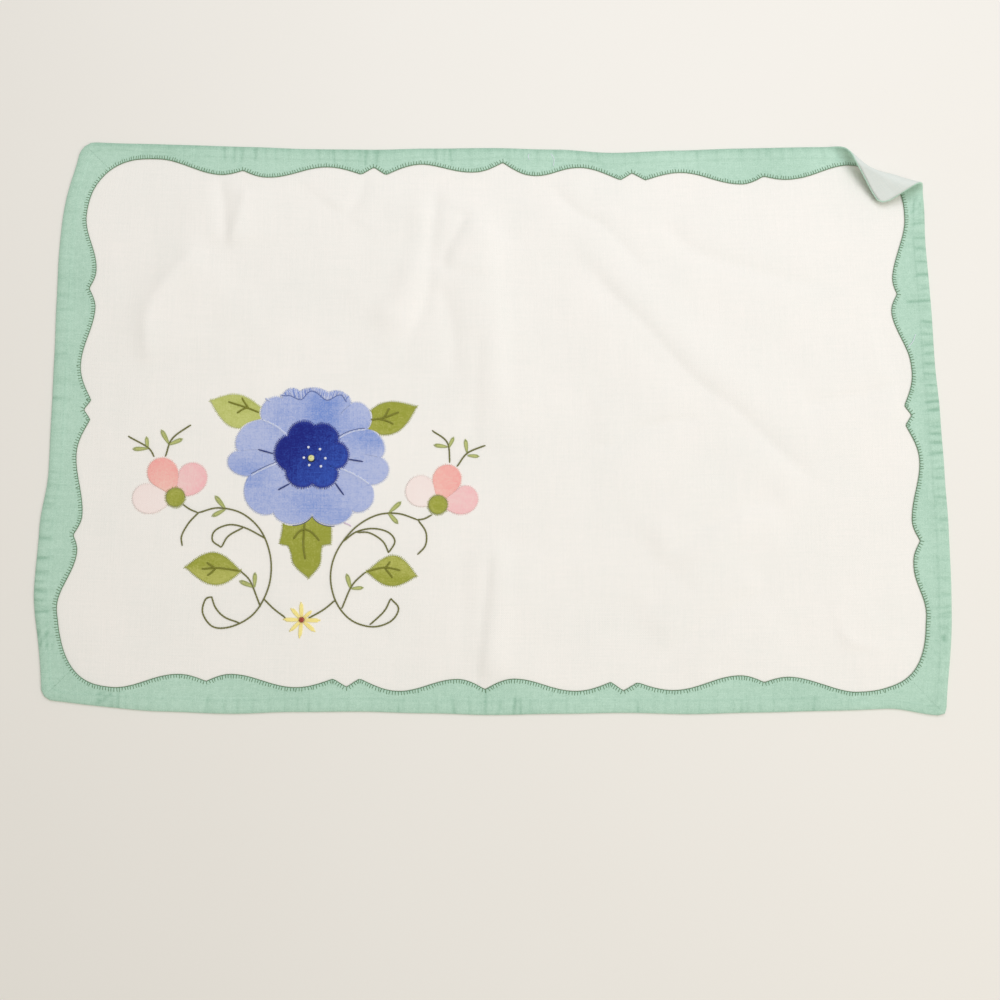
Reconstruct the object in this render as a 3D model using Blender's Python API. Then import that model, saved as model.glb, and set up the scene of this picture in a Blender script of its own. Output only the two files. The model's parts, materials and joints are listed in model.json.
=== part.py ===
"""A fabric placemat: a pale ground cloth with a scalloped border and an applique flower spray.

Every piece is worked out flat first, as the maker cut it, in millimetres: u runs to the right, v runs
away from the sitter, and h is the height in the layers of cloth. One function then lays the flat design
down: it turns the corner over, pulls the outline out of square and raises the soft folds.
The origin is the middle of the underside. +X is to the right, +Y away from the sitter and +Z up.
"""

import math

import bpy
import numpy as np
from mathutils import Vector
from mathutils.geometry import delaunay_2d_cdt

MM = 0.001

# The cut cloth
LENGTH = 432.0
DEPTH = 280.0
# Radius of the cloth's own corners, anticlockwise from the lower right
CORNER_RADII = (3.0, 4.0, 8.0, 6.0)
HALF_U = LENGTH / 2
HALF_V = DEPTH / 2

# Layers: the ground cloth lies lowest, then border and patches, then the flower's centre
CLOTH = 1.0
GAP = 0.3
GROUND_LAYER = (0.0, CLOTH)
TRIM_LAYER = (CLOTH + GAP, 2 * CLOTH + GAP)
TOP_LAYER = (2 * (CLOTH + GAP), 3 * CLOTH + 2 * GAP)

# How finely the solids follow the cloth
EDGE_STEP = 6.0
SCALLOP_STEP = 3.2
RIM_STEP = 2.6
TUCK_STEP = 1.6
COARSE_CELL = 26.0
FINE_CELL = 6.5
FLATNESS = 0.09
EDGE_CLEARANCE = 2.2

# Width of the border along a long side, from the middle of its pattern: distance, width, shape
LONG_SCALLOP = (
    (0.0, 11.6, "sharp"),
    (13.2, 16.5, "round"),
    (41.0, 10.6, "round"),
    (59.0, 16.3, "sharp"),
    (65.0, 12.2, "sharp"),
    (71.5, 16.2, "sharp"),
    (89.0, 12.0, "round"),
    (119.5, 18.6, "round"),
    (131.0, 15.2, "sharp"),
    (144.0, 18.6, "round"),
    (174.5, 12.0, "round"),
)
# The same along a short side
SHORT_SCALLOP = (
    (0.0, 16.2, "sharp"),
    (4.8, 19.8, "sharp"),
    (21.7, 14.0, "round"),
    (51.0, 18.8, "round"),
    (61.0, 15.0, "sharp"),
    (69.5, 17.8, "round"),
    (100.0, 10.0, "round"),
)
# Each side: scallop, and where its pattern is centred
SIDES = {
    "bottom": (LONG_SCALLOP, -3.5),
    "right": (SHORT_SCALLOP, 0.9),
    "top": (LONG_SCALLOP, 5.0),
    "left": (SHORT_SCALLOP, 3.0),
}
# How much wider than its pattern each side's border was sewn, at even distances along the side
SEWN_WIDER = {
    "bottom": (-5.0, -3.2, -1.5, -0.7, -1.0, -1.1, -1.0, -0.3, -0.3, -2.4, -1.3, -1.5, -3.5, -4.5, -5.3),
    "right": (5.4, 2.9, 0.4, -1.7, -2.5, -2.4, -2.5, 1.7, -0.6, 0.0, 0.7),
    "top": (-4.6, -4.4, -4.6, -3.0, -2.7, -3.2, -2.5, -4.5, -2.0, -1.5, -0.4, 0.3, -2.0, -2.7, -3.4),
    "left": (3.3, 1.3, -0.7, 0.5, -1.3, -0.8, -1.2, 0.2, 1.1, 1.4, 1.7),
}
CORNER_SQUARENESS = 2.7
MITRE_STEPS = 6

# The flower: each lobe from one angle to the next, the rim's radius at both, and the lobe's own reach
FLOWER = (-88.6, -18.8)
HEART_RADIUS = 5.0
PETALS = {
    "petal_top": (
        (29.0, 56.0, 29.5, 32.6, 36.6),
        (56.0, 77.0, 32.6, 33.0, 36.0),
        (77.0, 101.5, 33.0, 33.4, 35.1),
        (101.5, 117.0, 33.4, 32.8, 36.4),
        (117.0, 142.5, 32.8, 30.5, 36.4),
    ),
    "petal_left": ((142.5, 174.8, 29.5, 35.3, 37.5), (174.8, 197.0, 35.3, 29.5, 40.4)),
    "petal_bottom": (
        (197.0, 236.5, 29.5, 31.3, 37.7),
        (236.5, 272.0, 31.3, 27.0, 33.4),
        (272.0, 308.5, 27.0, 32.0, 34.4),
        (308.5, 336.0, 32.0, 30.0, 36.8),
    ),
    "petal_right": ((336.0, 361.0, 30.0, 32.7, 37.7), (361.0, 389.0, 32.7, 29.0, 35.4)),
}
CENTRE_LOBES = (
    (32.5, 86.5, 14.3, 15.5, 18.4),
    (86.5, 135.5, 15.5, 15.5, 19.1),
    (135.5, 205.0, 15.5, 12.7, 18.1),
    (205.0, 274.0, 12.7, 11.8, 15.5),
    (274.0, 338.0, 11.8, 12.7, 16.2),
    (338.0, 392.5, 12.7, 14.3, 17.8),
)
LOBE_ROUNDNESS = 0.55

# Leaves: base, tip, greatest half width on the left and right of the midrib, where either width falls
LEAVES = {
    "leaf_upper_left": ((-108.0, 1.7), (-138.6, 9.2), 10.25, 6.6, 0.52, 0.56),
    "leaf_upper_right": ((-67.2, -4.5), (-38.3, 7.3), 8.1, 8.5, 0.50, 0.52),
    "leaf_side_left": ((-120.4, -73.3), (-147.2, -71.9), 7.7, 8.2, 0.45, 0.51),
    "leaf_side_right": ((-61.0, -73.2), (-36.9, -75.1), 9.1, 6.1, 0.51, 0.50),
}
# The lower leaf hangs under the flower: distance below its top, width left and right of the midrib, shape
LOWER_LEAF_TOP = (-90.6, -42.0)
LOWER_LEAF_LEAN = 0.07
LOWER_LEAF_LEFT = (
    (0.0, 9.0, "sharp"),
    (8.0, 11.8, "round"),
    (18.2, 13.8, "sharp"),
    (18.7, 9.8, "sharp"),
    (25.0, 8.0, "round"),
    (34.5, 0.0, "sharp"),
)
LOWER_LEAF_RIGHT = (
    (0.0, 9.0, "sharp"),
    (8.0, 11.9, "round"),
    (18.2, 11.4, "sharp"),
    (18.7, 7.2, "sharp"),
    (25.0, 6.4, "round"),
    (34.5, 0.0, "sharp"),
)

# Buds: calyx place and radius, then one petal a row in the flower's way of giving lobes
CALYX_RADIUS = 4.85
BUDS = {
    "bud_left": (
        (-153.2, -38.6),
        {
            "coral": ((85.0, 151.0, 9.6, 11.6, 21.3),),
            "pink": ((9.0, 85.0, 6.5, 11.0, 19.7),),
            "pale": ((153.0, 224.0, 12.0, 7.0, 20.7),),
        },
    ),
    "bud_right": (
        (-27.7, -40.9),
        {
            "coral": ((39.0, 103.0, 10.3, 10.7, 20.6),),
            "pink": ((-27.0, 39.0, 7.9, 13.4, 19.5),),
            "pale": ((103.0, 187.0, 10.0, 7.1, 18.2),),
        },
    ),
}

# The corner turned over its face, far right: a point near the bend, the way to the corner, how far past the
# point the bend starts, how much it curves and where along it that curve is centred. The roll is dented: by
# how much, where along the bend and how far to both sides of that
TURN_POINT = (190.0, 128.0)
TURN_DEGREES = 55.8
TURN_START = -4.6
TURN_CURVE = 0.0058
TURN_CURVE_AT = 5.0
TURN_BACK = 184.0
TURN_AXIS_HEIGHT = 4.6
TURN_NEUTRAL = 0.5
TURN_DENT = (2.2, 0.0, 14.0)
TURN_CUTS = 8
TURN_SPAN = (-48.0, 42.0)
TURN_SPAN_STEPS = 23

# How far each side of the mat lies out of square, how far outside that its edge runs at even distances along
# the side, and how far the mat's corners are drawn in
TOP_BOW = (-1.7, 3.5)
BOTTOM_BOW = (-2.0, 2.6)
LEFT_SHIFT = -0.4
RIGHT_BOW = (2.5, -3.0, -10.0, 120.0)
EDGE_WAVES = {
    "bottom": (-1.2, -2.2, -1.0, -0.4, -1.5, -1.8, -1.1, -0.4, -1.0, -1.5, -0.9, -1.5, -1.9, -2.0, 2.5),
    "right": (0.2, 0.2, -0.1, -0.5, -1.3, -1.9, -2.8, -2.5, -2.5, -1.1, 0.1),
    "top": (0.3, 0.0, -0.2, -0.5, -1.1, -1.0, -0.1, 0.3, -0.5, -2.4, -1.5, -0.9, -0.8, -1.2, -1.6),
    "left": (1.6, -0.6, 1.8, 1.1, -1.6, -1.3, -1.0, -0.4, 0.1, 0.5, -1.1),
}
WAVE_REACH = 45.0
DRAWN_CORNERS = (
    (-HALF_U, HALF_V, 6.5, -0.5, 22.0),
    (-HALF_U, -HALF_V, 6.0, 3.0, 16.0),
    (HALF_U, -HALF_V, -3.5, 0.5, 20.0),
)

# Soft folds: from, by way of, to, height, and how far the slope runs to the left and right of that way
FOLDS = (
    ((-9.0, 118.0), (-3.0, 60.0), (-3.0, -6.0), 1.5, 13.0, 26.0),
    ((-3.0, -48.0), (-3.0, -90.0), (-3.0, -130.0), 1.3, 14.0, 14.0),
    ((-38.0, 120.0), (-38.0, 78.0), (-66.0, 38.0), 1.2, 24.0, 12.0),
    ((40.0, 104.0), (86.0, 38.0), (142.0, -12.0), 1.3, 22.0, 13.0),
    ((132.0, -42.0), (100.0, -58.0), (72.0, -64.0), 0.9, 12.0, 16.0),
)
FOLD_TAPER = 0.22

COLOURS = {
    "ground": (0.91, 0.88, 0.84),
    "mint": (0.45, 0.68, 0.55),
    "petal": (0.32, 0.40, 0.72),
    "centre": (0.02, 0.04, 0.28),
    "leaf": (0.30, 0.35, 0.05),
    "pale_leaf": (0.42, 0.47, 0.12),
    "coral": (0.86, 0.38, 0.32),
    "pink": (0.88, 0.48, 0.46),
    "pale_pink": (0.88, 0.70, 0.64),
}
CLOTH_ROUGHNESS = 0.9


def keyed(rows, distance):
    """The width at each distance, from rows of distance, width and shape.

    The width eases level into a round row and runs straight or steeply into a sharp one.
    """
    at = np.array([row[0] for row in rows])
    width = np.array([row[1] for row in rows])
    sharp = np.array([row[2] == "sharp" for row in rows])
    distance = np.clip(distance, at[0], at[-1])
    i = np.clip(np.searchsorted(at, distance, side="right") - 1, 0, len(rows) - 2)
    s = (distance - at[i]) / (at[i + 1] - at[i])
    both_round = (1 - np.cos(math.pi * s)) / 2
    leaves_sharp = np.sin(math.pi * s / 2)
    meets_sharp = 1 - np.cos(math.pi * s / 2)
    ease = np.where(
        sharp[i],
        np.where(sharp[i + 1], s, leaves_sharp),
        np.where(sharp[i + 1], meets_sharp, both_round),
    )
    return width[i] + (width[i + 1] - width[i]) * ease


def stations(rows, step):
    """Distances from the first row to the last, every row among them, no further apart than step."""
    marks = [rows[0][0]]
    for row in rows[1:]:
        count = max(1, math.ceil((row[0] - marks[-1]) / step - 0.01))
        start = marks[-1]
        marks += [start + (row[0] - start) * n / count for n in range(1, count + 1)]
    return np.array(marks)


def from_side(u, v, side):
    """Distance along one side of the cloth from its middle, and distance in from its edge."""
    return {
        "bottom": (u, HALF_V + v),
        "right": (v, HALF_U - u),
        "top": (u, HALF_V - v),
        "left": (v, HALF_U + u),
    }[side]


def waved(values, side, along):
    """A smooth line through values at even distances along a side: a cosine between each two."""
    half = HALF_U if side in ("bottom", "top") else HALF_V
    at = np.clip((along + half) / (2 * half), 0, 1) * (len(values) - 1)
    i = np.minimum(at.astype(int), len(values) - 2)
    s = (1 - np.cos(math.pi * (at - i))) / 2
    values = np.array(values)
    return values[i] * (1 - s) + values[i + 1] * s


def side_scallop(side):
    """Points of one side's scalloped edge as distance along the side and width of the border."""
    rows, middle = SIDES[side]
    half = stations(rows, SCALLOP_STEP)
    distance = np.concatenate([-half[:0:-1], half])
    along_side = middle + distance
    width = keyed(rows, np.abs(distance)) + waved(SEWN_WIDER[side], side, along_side)
    return np.stack([along_side, width], axis=1)


def scalloped_edge():
    """The border's inner edge, anticlockwise: four scalloped sides, each followed by a corner's arc.

    The arcs are quarter ellipses, a little squarer than true ones, from one side to the next.
    """
    bottom, right, top, left = (side_scallop(side) for side in ("bottom", "right", "top", "left"))
    sides = [
        np.stack([bottom[:, 0], -HALF_V + bottom[:, 1]], axis=1),
        np.stack([HALF_U - right[:, 1], right[:, 0]], axis=1),
        np.stack([top[:, 0], HALF_V - top[:, 1]], axis=1)[::-1],
        np.stack([-HALF_U + left[:, 1], left[:, 0]], axis=1)[::-1],
    ]
    angles = (1 - np.cos(np.linspace(0, math.pi, 2 * MITRE_STEPS + 1))) * math.pi / 4
    ahead, behind = np.sin(angles) ** (2 / CORNER_SQUARENESS), np.cos(angles) ** (2 / CORNER_SQUARENESS)
    arcs = []
    for k in range(4):
        start, end = sides[k][-1], sides[(k + 1) % 4][0]
        if k % 2 == 0:
            middle = np.array([start[0], end[1]])
        else:
            middle = np.array([end[0], start[1]])
        arcs.append(middle + np.outer(behind, start - middle) + np.outer(ahead, end - middle))
    return sides, arcs


def along(a, b, step):
    """Points from a up to but not including b, no further apart than step."""
    a, b = np.array(a, float), np.array(b, float)
    count = max(1, math.ceil(np.hypot(*(b - a)) / step))
    return [tuple(a + (b - a) * n / count) for n in range(count)]


def rounded_corner(k):
    """Points around the cloth's own corner k, anticlockwise from the lower right."""
    signs = ((1, -1), (1, 1), (-1, 1), (-1, -1))[k]
    radius = CORNER_RADII[k]
    middle = np.array([signs[0] * (HALF_U - radius), signs[1] * (HALF_V - radius)])
    start = math.radians(-90 + 90 * k)
    turns = [start + math.radians(90) * n / 4 for n in range(5)]
    return [tuple(middle + radius * np.array([math.cos(t), math.sin(t)])) for t in turns]


def outer_run(k):
    """The cloth's edge from the middle of one corner to the middle of the next, along side k."""
    before, after = rounded_corner((k + 3) % 4), rounded_corner(k)
    return before[2:-1] + along(before[-1], after[0], EDGE_STEP) + after[:3]


def ground_outline():
    points = []
    for k in range(4):
        points += outer_run(k)[:-1]
    return points


def band_outline(k):
    """One mitred strip of the border: out along the cloth's edge and back along the scallop."""
    sides, arcs = scalloped_edge()
    outer = [np.array(p) for p in outer_run(k)]
    inner = list(arcs[(k + 3) % 4][MITRE_STEPS:-1]) + list(sides[k]) + list(arcs[k][1 : MITRE_STEPS + 1])
    for first, last, turn in ((outer[0], inner[0], 1), (outer[-1], inner[-1], -1)):
        seam = (last - first) / np.hypot(*(last - first))
        away = turn * np.array([seam[1], -seam[0]]) * GAP / 2
        first += away
        last += away
    return [tuple(p) for p in outer] + [tuple(p) for p in inner[::-1]]


def lobe_radius(lobes, degrees):
    """The rim's radius at an angle: each lobe swells from a straight run between its two notches."""
    radius = np.zeros(len(degrees))
    for start, end, low, high, reach in lobes:
        s = np.clip((degrees - start) / (end - start), 0, 1)
        swell = (reach - (low + high) / 2) * np.sin(math.pi * s) ** LOBE_ROUNDNESS
        inside = (degrees >= start - 1e-6) & (degrees <= end + 1e-6)
        radius = np.where(inside, low + (high - low) * s + swell, radius)
    return radius


def lobe_angles(lobes):
    """Angles along a lobed rim, closer at the notches where the lobes are steep."""
    angles = [lobes[0][0]]
    for start, end, low, high, reach in lobes:
        count = max(4, round(math.radians(end - start) * reach / RIM_STEP))
        shares = (1 - np.cos(np.linspace(0, math.pi, count + 1))) / 2
        angles += list(start + (end - start) * shares[1:])
    return np.array(angles)


def polar(middle, radius, degrees):
    turn = np.radians(degrees)
    return np.stack([middle[0] + radius * np.cos(turn), middle[1] + radius * np.sin(turn)], axis=1)


def petal_outline(middle, lobes, inner_radius):
    """A sector from the inner radius to the lobed rim, its two sides drawn in by half a gap."""
    angles = lobe_angles(lobes)
    rim = polar(middle, lobe_radius(lobes, angles), angles)
    heart_angles = np.linspace(angles[-1], angles[0], max(3, round((angles[-1] - angles[0]) / 20)))
    heart = polar(middle, np.full(len(heart_angles), inner_radius), heart_angles)
    for rim_end, heart_end, turn in ((0, -1, 1), (-1, 0, -1)):
        side = math.radians(angles[rim_end])
        inward = turn * np.array([-math.sin(side), math.cos(side)]) * GAP / 2
        rim[rim_end] += inward
        heart[heart_end] += inward
    return [tuple(p) for p in rim] + [tuple(p) for p in heart]


def flower_rim(points):
    """For each point, its angle and distance from the flower's middle, and the petals' rim at that angle."""
    offset = np.array(points) - np.array(FLOWER)
    first = PETALS["petal_top"][0][0]
    degrees = (np.degrees(np.arctan2(offset[:, 1], offset[:, 0])) - first) % 360 + first
    lobes = [lobe for petal in PETALS.values() for lobe in petal]
    return degrees, np.hypot(offset[:, 0], offset[:, 1]), lobe_radius(lobes, degrees) + 2 * GAP


def clear_of_flower(outline):
    """The outline with what would lie under the petals moved straight out to just beyond their rim."""
    _, distance, rim = flower_rim(outline)
    under = distance < rim
    points = []
    for k, point in enumerate(outline):
        following = (k + 1) % len(outline)
        if under[k] or under[following]:
            points += along(point, outline[following], TUCK_STEP)
        else:
            points.append(point)
    degrees, distance, rim = flower_rim(points)
    return [tuple(p) for p in polar(FLOWER, np.maximum(distance, rim), degrees)]


def leaf_outline(base, tip, left, right, left_fullest, right_fullest):
    """A pointed leaf: either half width rises and falls as a sine whose peak is moved along the leaf."""
    base, tip = np.array(base), np.array(tip)
    length = np.hypot(*(tip - base))
    axis = (tip - base) / length
    across = np.array([-axis[1], axis[0]])
    count = round(length / RIM_STEP)
    s = np.linspace(0, 1, count + 1)
    left_swell = left * np.sin(math.pi * s ** (math.log(0.5) / math.log(left_fullest)))
    right_swell = right * np.sin(math.pi * s ** (math.log(0.5) / math.log(right_fullest)))
    right_side = base + np.outer(s * length, axis) - np.outer(right_swell, across)
    left_side = base + np.outer(s * length, axis) + np.outer(left_swell, across)
    return [tuple(p) for p in right_side[:-1]] + [tuple(p) for p in left_side[:0:-1]]


def lower_leaf_outline():
    """The three-lobed leaf: its two half widths come from the tables, its midrib leans a little."""
    down = stations(LOWER_LEAF_LEFT, RIM_STEP)
    middle = LOWER_LEAF_TOP[0] + LOWER_LEAF_LEAN * down
    level = LOWER_LEAF_TOP[1] - down
    left_side = np.stack([middle - keyed(LOWER_LEAF_LEFT, down), level], axis=1)
    right_side = np.stack([middle + keyed(LOWER_LEAF_RIGHT, down), level], axis=1)
    return [tuple(p) for p in left_side] + [tuple(p) for p in right_side[-2::-1]]


def fold_height(u, v):
    """Height of the soft folds at flat points.

    Each fold follows a quadratic curve. Across it the height falls as a raised cosine, over one distance
    on its left and another on its right, and along it the ends taper away in the same manner.
    """
    height = np.zeros(np.shape(u))
    s = np.linspace(0, 1, 33)
    for start, way, end, rise, left, right in FOLDS:
        start, way, end = np.array(start), np.array(way), np.array(end)
        control = 2 * way - (start + end) / 2
        path = np.outer((1 - s) ** 2, start) + np.outer(2 * s * (1 - s), control) + np.outer(s**2, end)
        heading = np.gradient(path, s, axis=0)
        speed = np.hypot(heading[:, 0], heading[:, 1])
        heading /= speed[:, None]
        du = np.asarray(u)[..., None] - path[:, 0]
        dv = np.asarray(v)[..., None] - path[:, 1]
        nearest = np.argmin(du**2 + dv**2, axis=-1)
        du = np.take_along_axis(du, nearest[..., None], -1)[..., 0]
        dv = np.take_along_axis(dv, nearest[..., None], -1)[..., 0]
        across = heading[nearest, 0] * dv - heading[nearest, 1] * du
        ahead = heading[nearest, 0] * du + heading[nearest, 1] * dv
        reach = np.where(across > 0, left, right)
        spread = np.clip(np.abs(across) / reach, 0, 1)
        share = s[nearest] + ahead / speed[nearest]
        from_end = np.clip(np.minimum(share, 1 - share) / FOLD_TAPER, 0, 1)
        height = height + rise * (1 + np.cos(math.pi * spread)) / 2 * (1 - np.cos(math.pi * from_end)) / 2
    return height


def bend_start(sideways):
    """How far past the turn point the bend starts: a parabola in the distance sideways along the bend."""
    return TURN_START + TURN_CURVE * (sideways - TURN_CURVE_AT) ** 2


def turn_corner(u, v, h):
    """The far right corner bent back over the face: a roll about a level axis, then straight on.

    Past the bend's start the cloth follows a circle whose neutral layer keeps its length, up to the full
    turn, and beyond that a straight flap leads on above the mat. Its dent presses the circle in.
    """
    turn = math.radians(TURN_DEGREES)
    normal = (math.cos(turn), math.sin(turn))
    sideways = (v - TURN_POINT[1]) * normal[0] - (u - TURN_POINT[0]) * normal[1]
    past = (u - TURN_POINT[0]) * normal[0] + (v - TURN_POINT[1]) * normal[1] - bend_start(sideways)
    full = math.radians(TURN_BACK)
    neutral = TURN_AXIS_HEIGHT - TURN_NEUTRAL
    angle = np.clip(past / neutral, 0, full)
    flap = np.maximum(past - neutral * full, 0)
    arm = TURN_AXIS_HEIGHT - h
    depth, where, spread = TURN_DENT
    dent = depth * (1 + np.cos(math.pi * np.clip(np.abs(sideways - where) / spread, 0, 1))) / 2
    reach = (arm - dent) * np.sin(angle) + flap * math.cos(full)
    lift = TURN_AXIS_HEIGHT - arm * np.cos(angle) + flap * math.sin(full)
    bent = past > 0
    u = np.where(bent, u + (reach - past) * normal[0], u)
    v = np.where(bent, v + (reach - past) * normal[1], v)
    return u, v, np.where(bent, lift, h)


def out_of_square(u, v):
    """Where flat points lie on the table: the sides bow and wave a little and three corners are drawn in."""
    top = TOP_BOW[0] + TOP_BOW[1] * (u / HALF_U) ** 2
    bottom = BOTTOM_BOW[0] + BOTTOM_BOW[1] * (u / HALF_U) ** 4
    right = RIGHT_BOW[0] + RIGHT_BOW[1] * ((v - RIGHT_BOW[2]) / RIGHT_BOW[3]) ** 2
    far = (v + HALF_V) / DEPTH
    rightward = (u + HALF_U) / LENGTH
    x = u + rightward * right + (1 - rightward) * LEFT_SHIFT
    y = v + far * top + (1 - far) * bottom
    for side, (way_u, way_v) in {"bottom": (0, -1), "right": (1, 0), "top": (0, 1), "left": (-1, 0)}.items():
        along_side, inward = from_side(u, v, side)
        fade = (1 + np.cos(math.pi * np.clip(inward / WAVE_REACH, 0, 1))) / 2
        push = waved(EDGE_WAVES[side], side, along_side) * fade
        x = x + way_u * push
        y = y + way_v * push
    for corner_u, corner_v, pull_u, pull_v, spread in DRAWN_CORNERS:
        share = np.exp(-((u - corner_u) ** 2 + (v - corner_v) ** 2) / (2 * spread**2))
        x = x + pull_u * share
        y = y + pull_v * share
    return x, y


def lie(points, h):
    """The flat design laid down: its corner turned over, its folds raised and its sides out of square."""
    flat = np.asarray(points, float)
    u, v, z = turn_corner(flat[:, 0], flat[:, 1], h)
    z = z + fold_height(flat[:, 0], flat[:, 1])
    x, y = out_of_square(u, v)
    return np.stack([x, y, z], axis=1) * MM


def turn_cuts():
    """Lines across the cloth along the bend, so that every layer bends along the same ones."""
    turn = math.radians(TURN_DEGREES)
    normal = np.array([math.cos(turn), math.sin(turn)])
    direction = np.array([-normal[1], normal[0]])
    sideways = np.linspace(*TURN_SPAN, TURN_SPAN_STEPS)
    neutral = TURN_AXIS_HEIGHT - TURN_NEUTRAL
    for past in np.linspace(0, neutral * math.radians(TURN_BACK), TURN_CUTS + 1):
        distance = bend_start(sideways) + past
        yield np.array(TURN_POINT) + np.outer(sideways, direction) + np.outer(distance, normal)


def inside(outline, points):
    """Which points lie in a closed outline and at least the edge clearance away from it."""
    a = np.array(outline)
    b = np.roll(a, -1, axis=0)
    u, v = points[:, 0][:, None], points[:, 1][:, None]
    crosses = (a[:, 1] > v) != (b[:, 1] > v)
    rise = np.where(b[:, 1] == a[:, 1], 1, b[:, 1] - a[:, 1])
    left_of = u < a[:, 0] + (b[:, 0] - a[:, 0]) * (v - a[:, 1]) / rise
    within = (crosses & left_of).sum(axis=1) % 2 == 1
    run = b - a
    share = ((u - a[:, 0]) * run[:, 0] + (v - a[:, 1]) * run[:, 1]) / (run**2).sum(axis=1)
    share = np.clip(share, 0, 1)
    distance = np.hypot(u - a[:, 0] - share * run[:, 0], v - a[:, 1] - share * run[:, 1]).min(axis=1)
    return within & (distance > EDGE_CLEARANCE)


def grid_points(low_u, high_u, low_v, high_v, cell):
    """Corners of a square cell, halved again and again wherever the folds bend more than the flatness."""
    corners = {(low_u, low_v), (high_u, low_v), (low_u, high_v), (high_u, high_v)}
    us, vs = np.meshgrid(np.linspace(low_u, high_u, 5), np.linspace(low_v, high_v, 5))
    z = fold_height(us, vs)
    flat = np.zeros_like(z)
    for i in range(5):
        for j in range(5):
            s, t = i / 4, j / 4
            flat[i, j] = (z[0, 0] * (1 - s) + z[4, 0] * s) * (1 - t) + (z[0, 4] * (1 - s) + z[4, 4] * s) * t
    if cell > FINE_CELL and np.abs(z - flat).max() > FLATNESS:
        mid_u, mid_v = (low_u + high_u) / 2, (low_v + high_v) / 2
        for a, b in ((low_u, mid_u), (mid_u, high_u)):
            for c, d in ((low_v, mid_v), (mid_v, high_v)):
                corners |= grid_points(a, b, c, d, cell / 2)
    return corners


def cloth_points():
    """Points all over the cloth, closer together where it folds."""
    points = set()
    columns, rows = math.ceil(HALF_U / COARSE_CELL), math.ceil(HALF_V / COARSE_CELL)
    for i in range(-columns, columns):
        for j in range(-rows, rows):
            low_u, low_v = i * COARSE_CELL, j * COARSE_CELL
            points |= grid_points(low_u, low_u + COARSE_CELL, low_v, low_v + COARSE_CELL, COARSE_CELL)
    return np.array(sorted(points))


def triangulate(outline, spread):
    """The flat outline as triangles through its own points, the spread points and the bend's cuts."""
    points = [Vector(p) for p in outline] + [Vector(p) for p in spread[inside(outline, spread)]]
    edges = []
    reach = np.array(outline)
    if (reach[:, 0] > TURN_POINT[0] - 10).any() and (reach[:, 1] > 90).any():
        for cut in turn_cuts():
            edges += [(len(points) + n, len(points) + n + 1) for n in range(len(cut) - 1)]
            points += [Vector(place) for place in cut]
    flat, _, faces, _, _, owners = delaunay_2d_cdt(points, edges, [list(range(len(outline)))], 0, 1e-4)
    kept = [face for face, owner in zip(faces, owners) if owner]
    used = sorted({i for face in kept for i in face})
    renumber = {old: new for new, old in enumerate(used)}
    return np.array([flat[i][:] for i in used]), [[renumber[i] for i in face] for face in kept]


def material(name):
    found = bpy.data.materials.get(name)
    if found:
        return found
    made = bpy.data.materials.new(name)
    made.use_nodes = True
    shader = made.node_tree.nodes["Principled BSDF"]
    shader.inputs["Base Color"].default_value = (*COLOURS[name], 1.0)
    shader.inputs["Roughness"].default_value = CLOTH_ROUGHNESS
    shader.inputs["Metallic"].default_value = 0.0
    return made


def cloth_piece(name, outline, layer, colour, spread):
    """One cut piece as a closed solid: its outline between the two heights of its layer, laid down."""
    flat, triangles = triangulate(outline, spread)
    count = len(flat)
    points = np.concatenate([lie(flat, layer[0]), lie(flat, layer[1])])
    sides = {}
    for a, b, c in triangles:
        for edge in ((a, b), (b, c), (c, a)):
            sides[edge] = sides.get(edge[::-1], 0) + 1
    rim = [edge for edge in sides if edge[::-1] not in sides]
    faces = [(a + count, b + count, c + count) for a, b, c in triangles]
    faces += [(c, b, a) for a, b, c in triangles]
    faces += [(a, b, b + count) for a, b in rim]
    faces += [(a, b + count, a + count) for a, b in rim]
    mesh = bpy.data.meshes.new(name)
    mesh.from_pydata(points.tolist(), [], faces)
    mesh.shade_smooth()
    mesh.set_sharp_from_angle(angle=math.radians(40))
    mesh.materials.append(material(colour))
    piece = bpy.data.objects.new(name, mesh)
    bpy.context.scene.collection.objects.link(piece)
    return piece


def make_ground(spread):
    cloth_piece("ground", ground_outline(), GROUND_LAYER, "ground", spread)


def make_border(spread):
    for k, side in enumerate(SIDES):
        cloth_piece(f"band_{side}", band_outline(k), TRIM_LAYER, "mint", spread)


def make_flower(spread):
    for name, lobes in PETALS.items():
        cloth_piece(name, petal_outline(FLOWER, lobes, HEART_RADIUS), TRIM_LAYER, "petal", spread)
    angles = lobe_angles(CENTRE_LOBES)[:-1]
    centre = [tuple(p) for p in polar(FLOWER, lobe_radius(CENTRE_LOBES, angles), angles)]
    cloth_piece("flower_centre", centre, TOP_LAYER, "centre", spread)


def make_leaves(spread):
    for name, sizes in LEAVES.items():
        colour = "pale_leaf" if name == "leaf_upper_left" else "leaf"
        cloth_piece(name, clear_of_flower(leaf_outline(*sizes)), TRIM_LAYER, colour, spread)
    cloth_piece("leaf_lower", clear_of_flower(lower_leaf_outline()), TRIM_LAYER, "leaf", spread)


def make_buds(spread):
    colours = {"coral": "coral", "pink": "pink", "pale": "pale_pink"}
    for bud, (middle, petals) in BUDS.items():
        for petal, lobes in petals.items():
            outline = petal_outline(middle, lobes, CALYX_RADIUS + GAP)
            cloth_piece(f"{bud}_{petal}", outline, TRIM_LAYER, colours[petal], spread)
        angles = np.arange(0, 360, 30.0)
        calyx = [tuple(p) for p in polar(middle, np.full(len(angles), CALYX_RADIUS), angles)]
        cloth_piece(f"{bud}_calyx", calyx, TRIM_LAYER, "leaf", spread)


def main():
    for old in list(bpy.data.objects):
        bpy.data.objects.remove(old, do_unlink=True)
    spread = cloth_points()
    make_ground(spread)
    make_border(spread)
    make_flower(spread)
    make_leaves(spread)
    make_buds(spread)


main()
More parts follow.
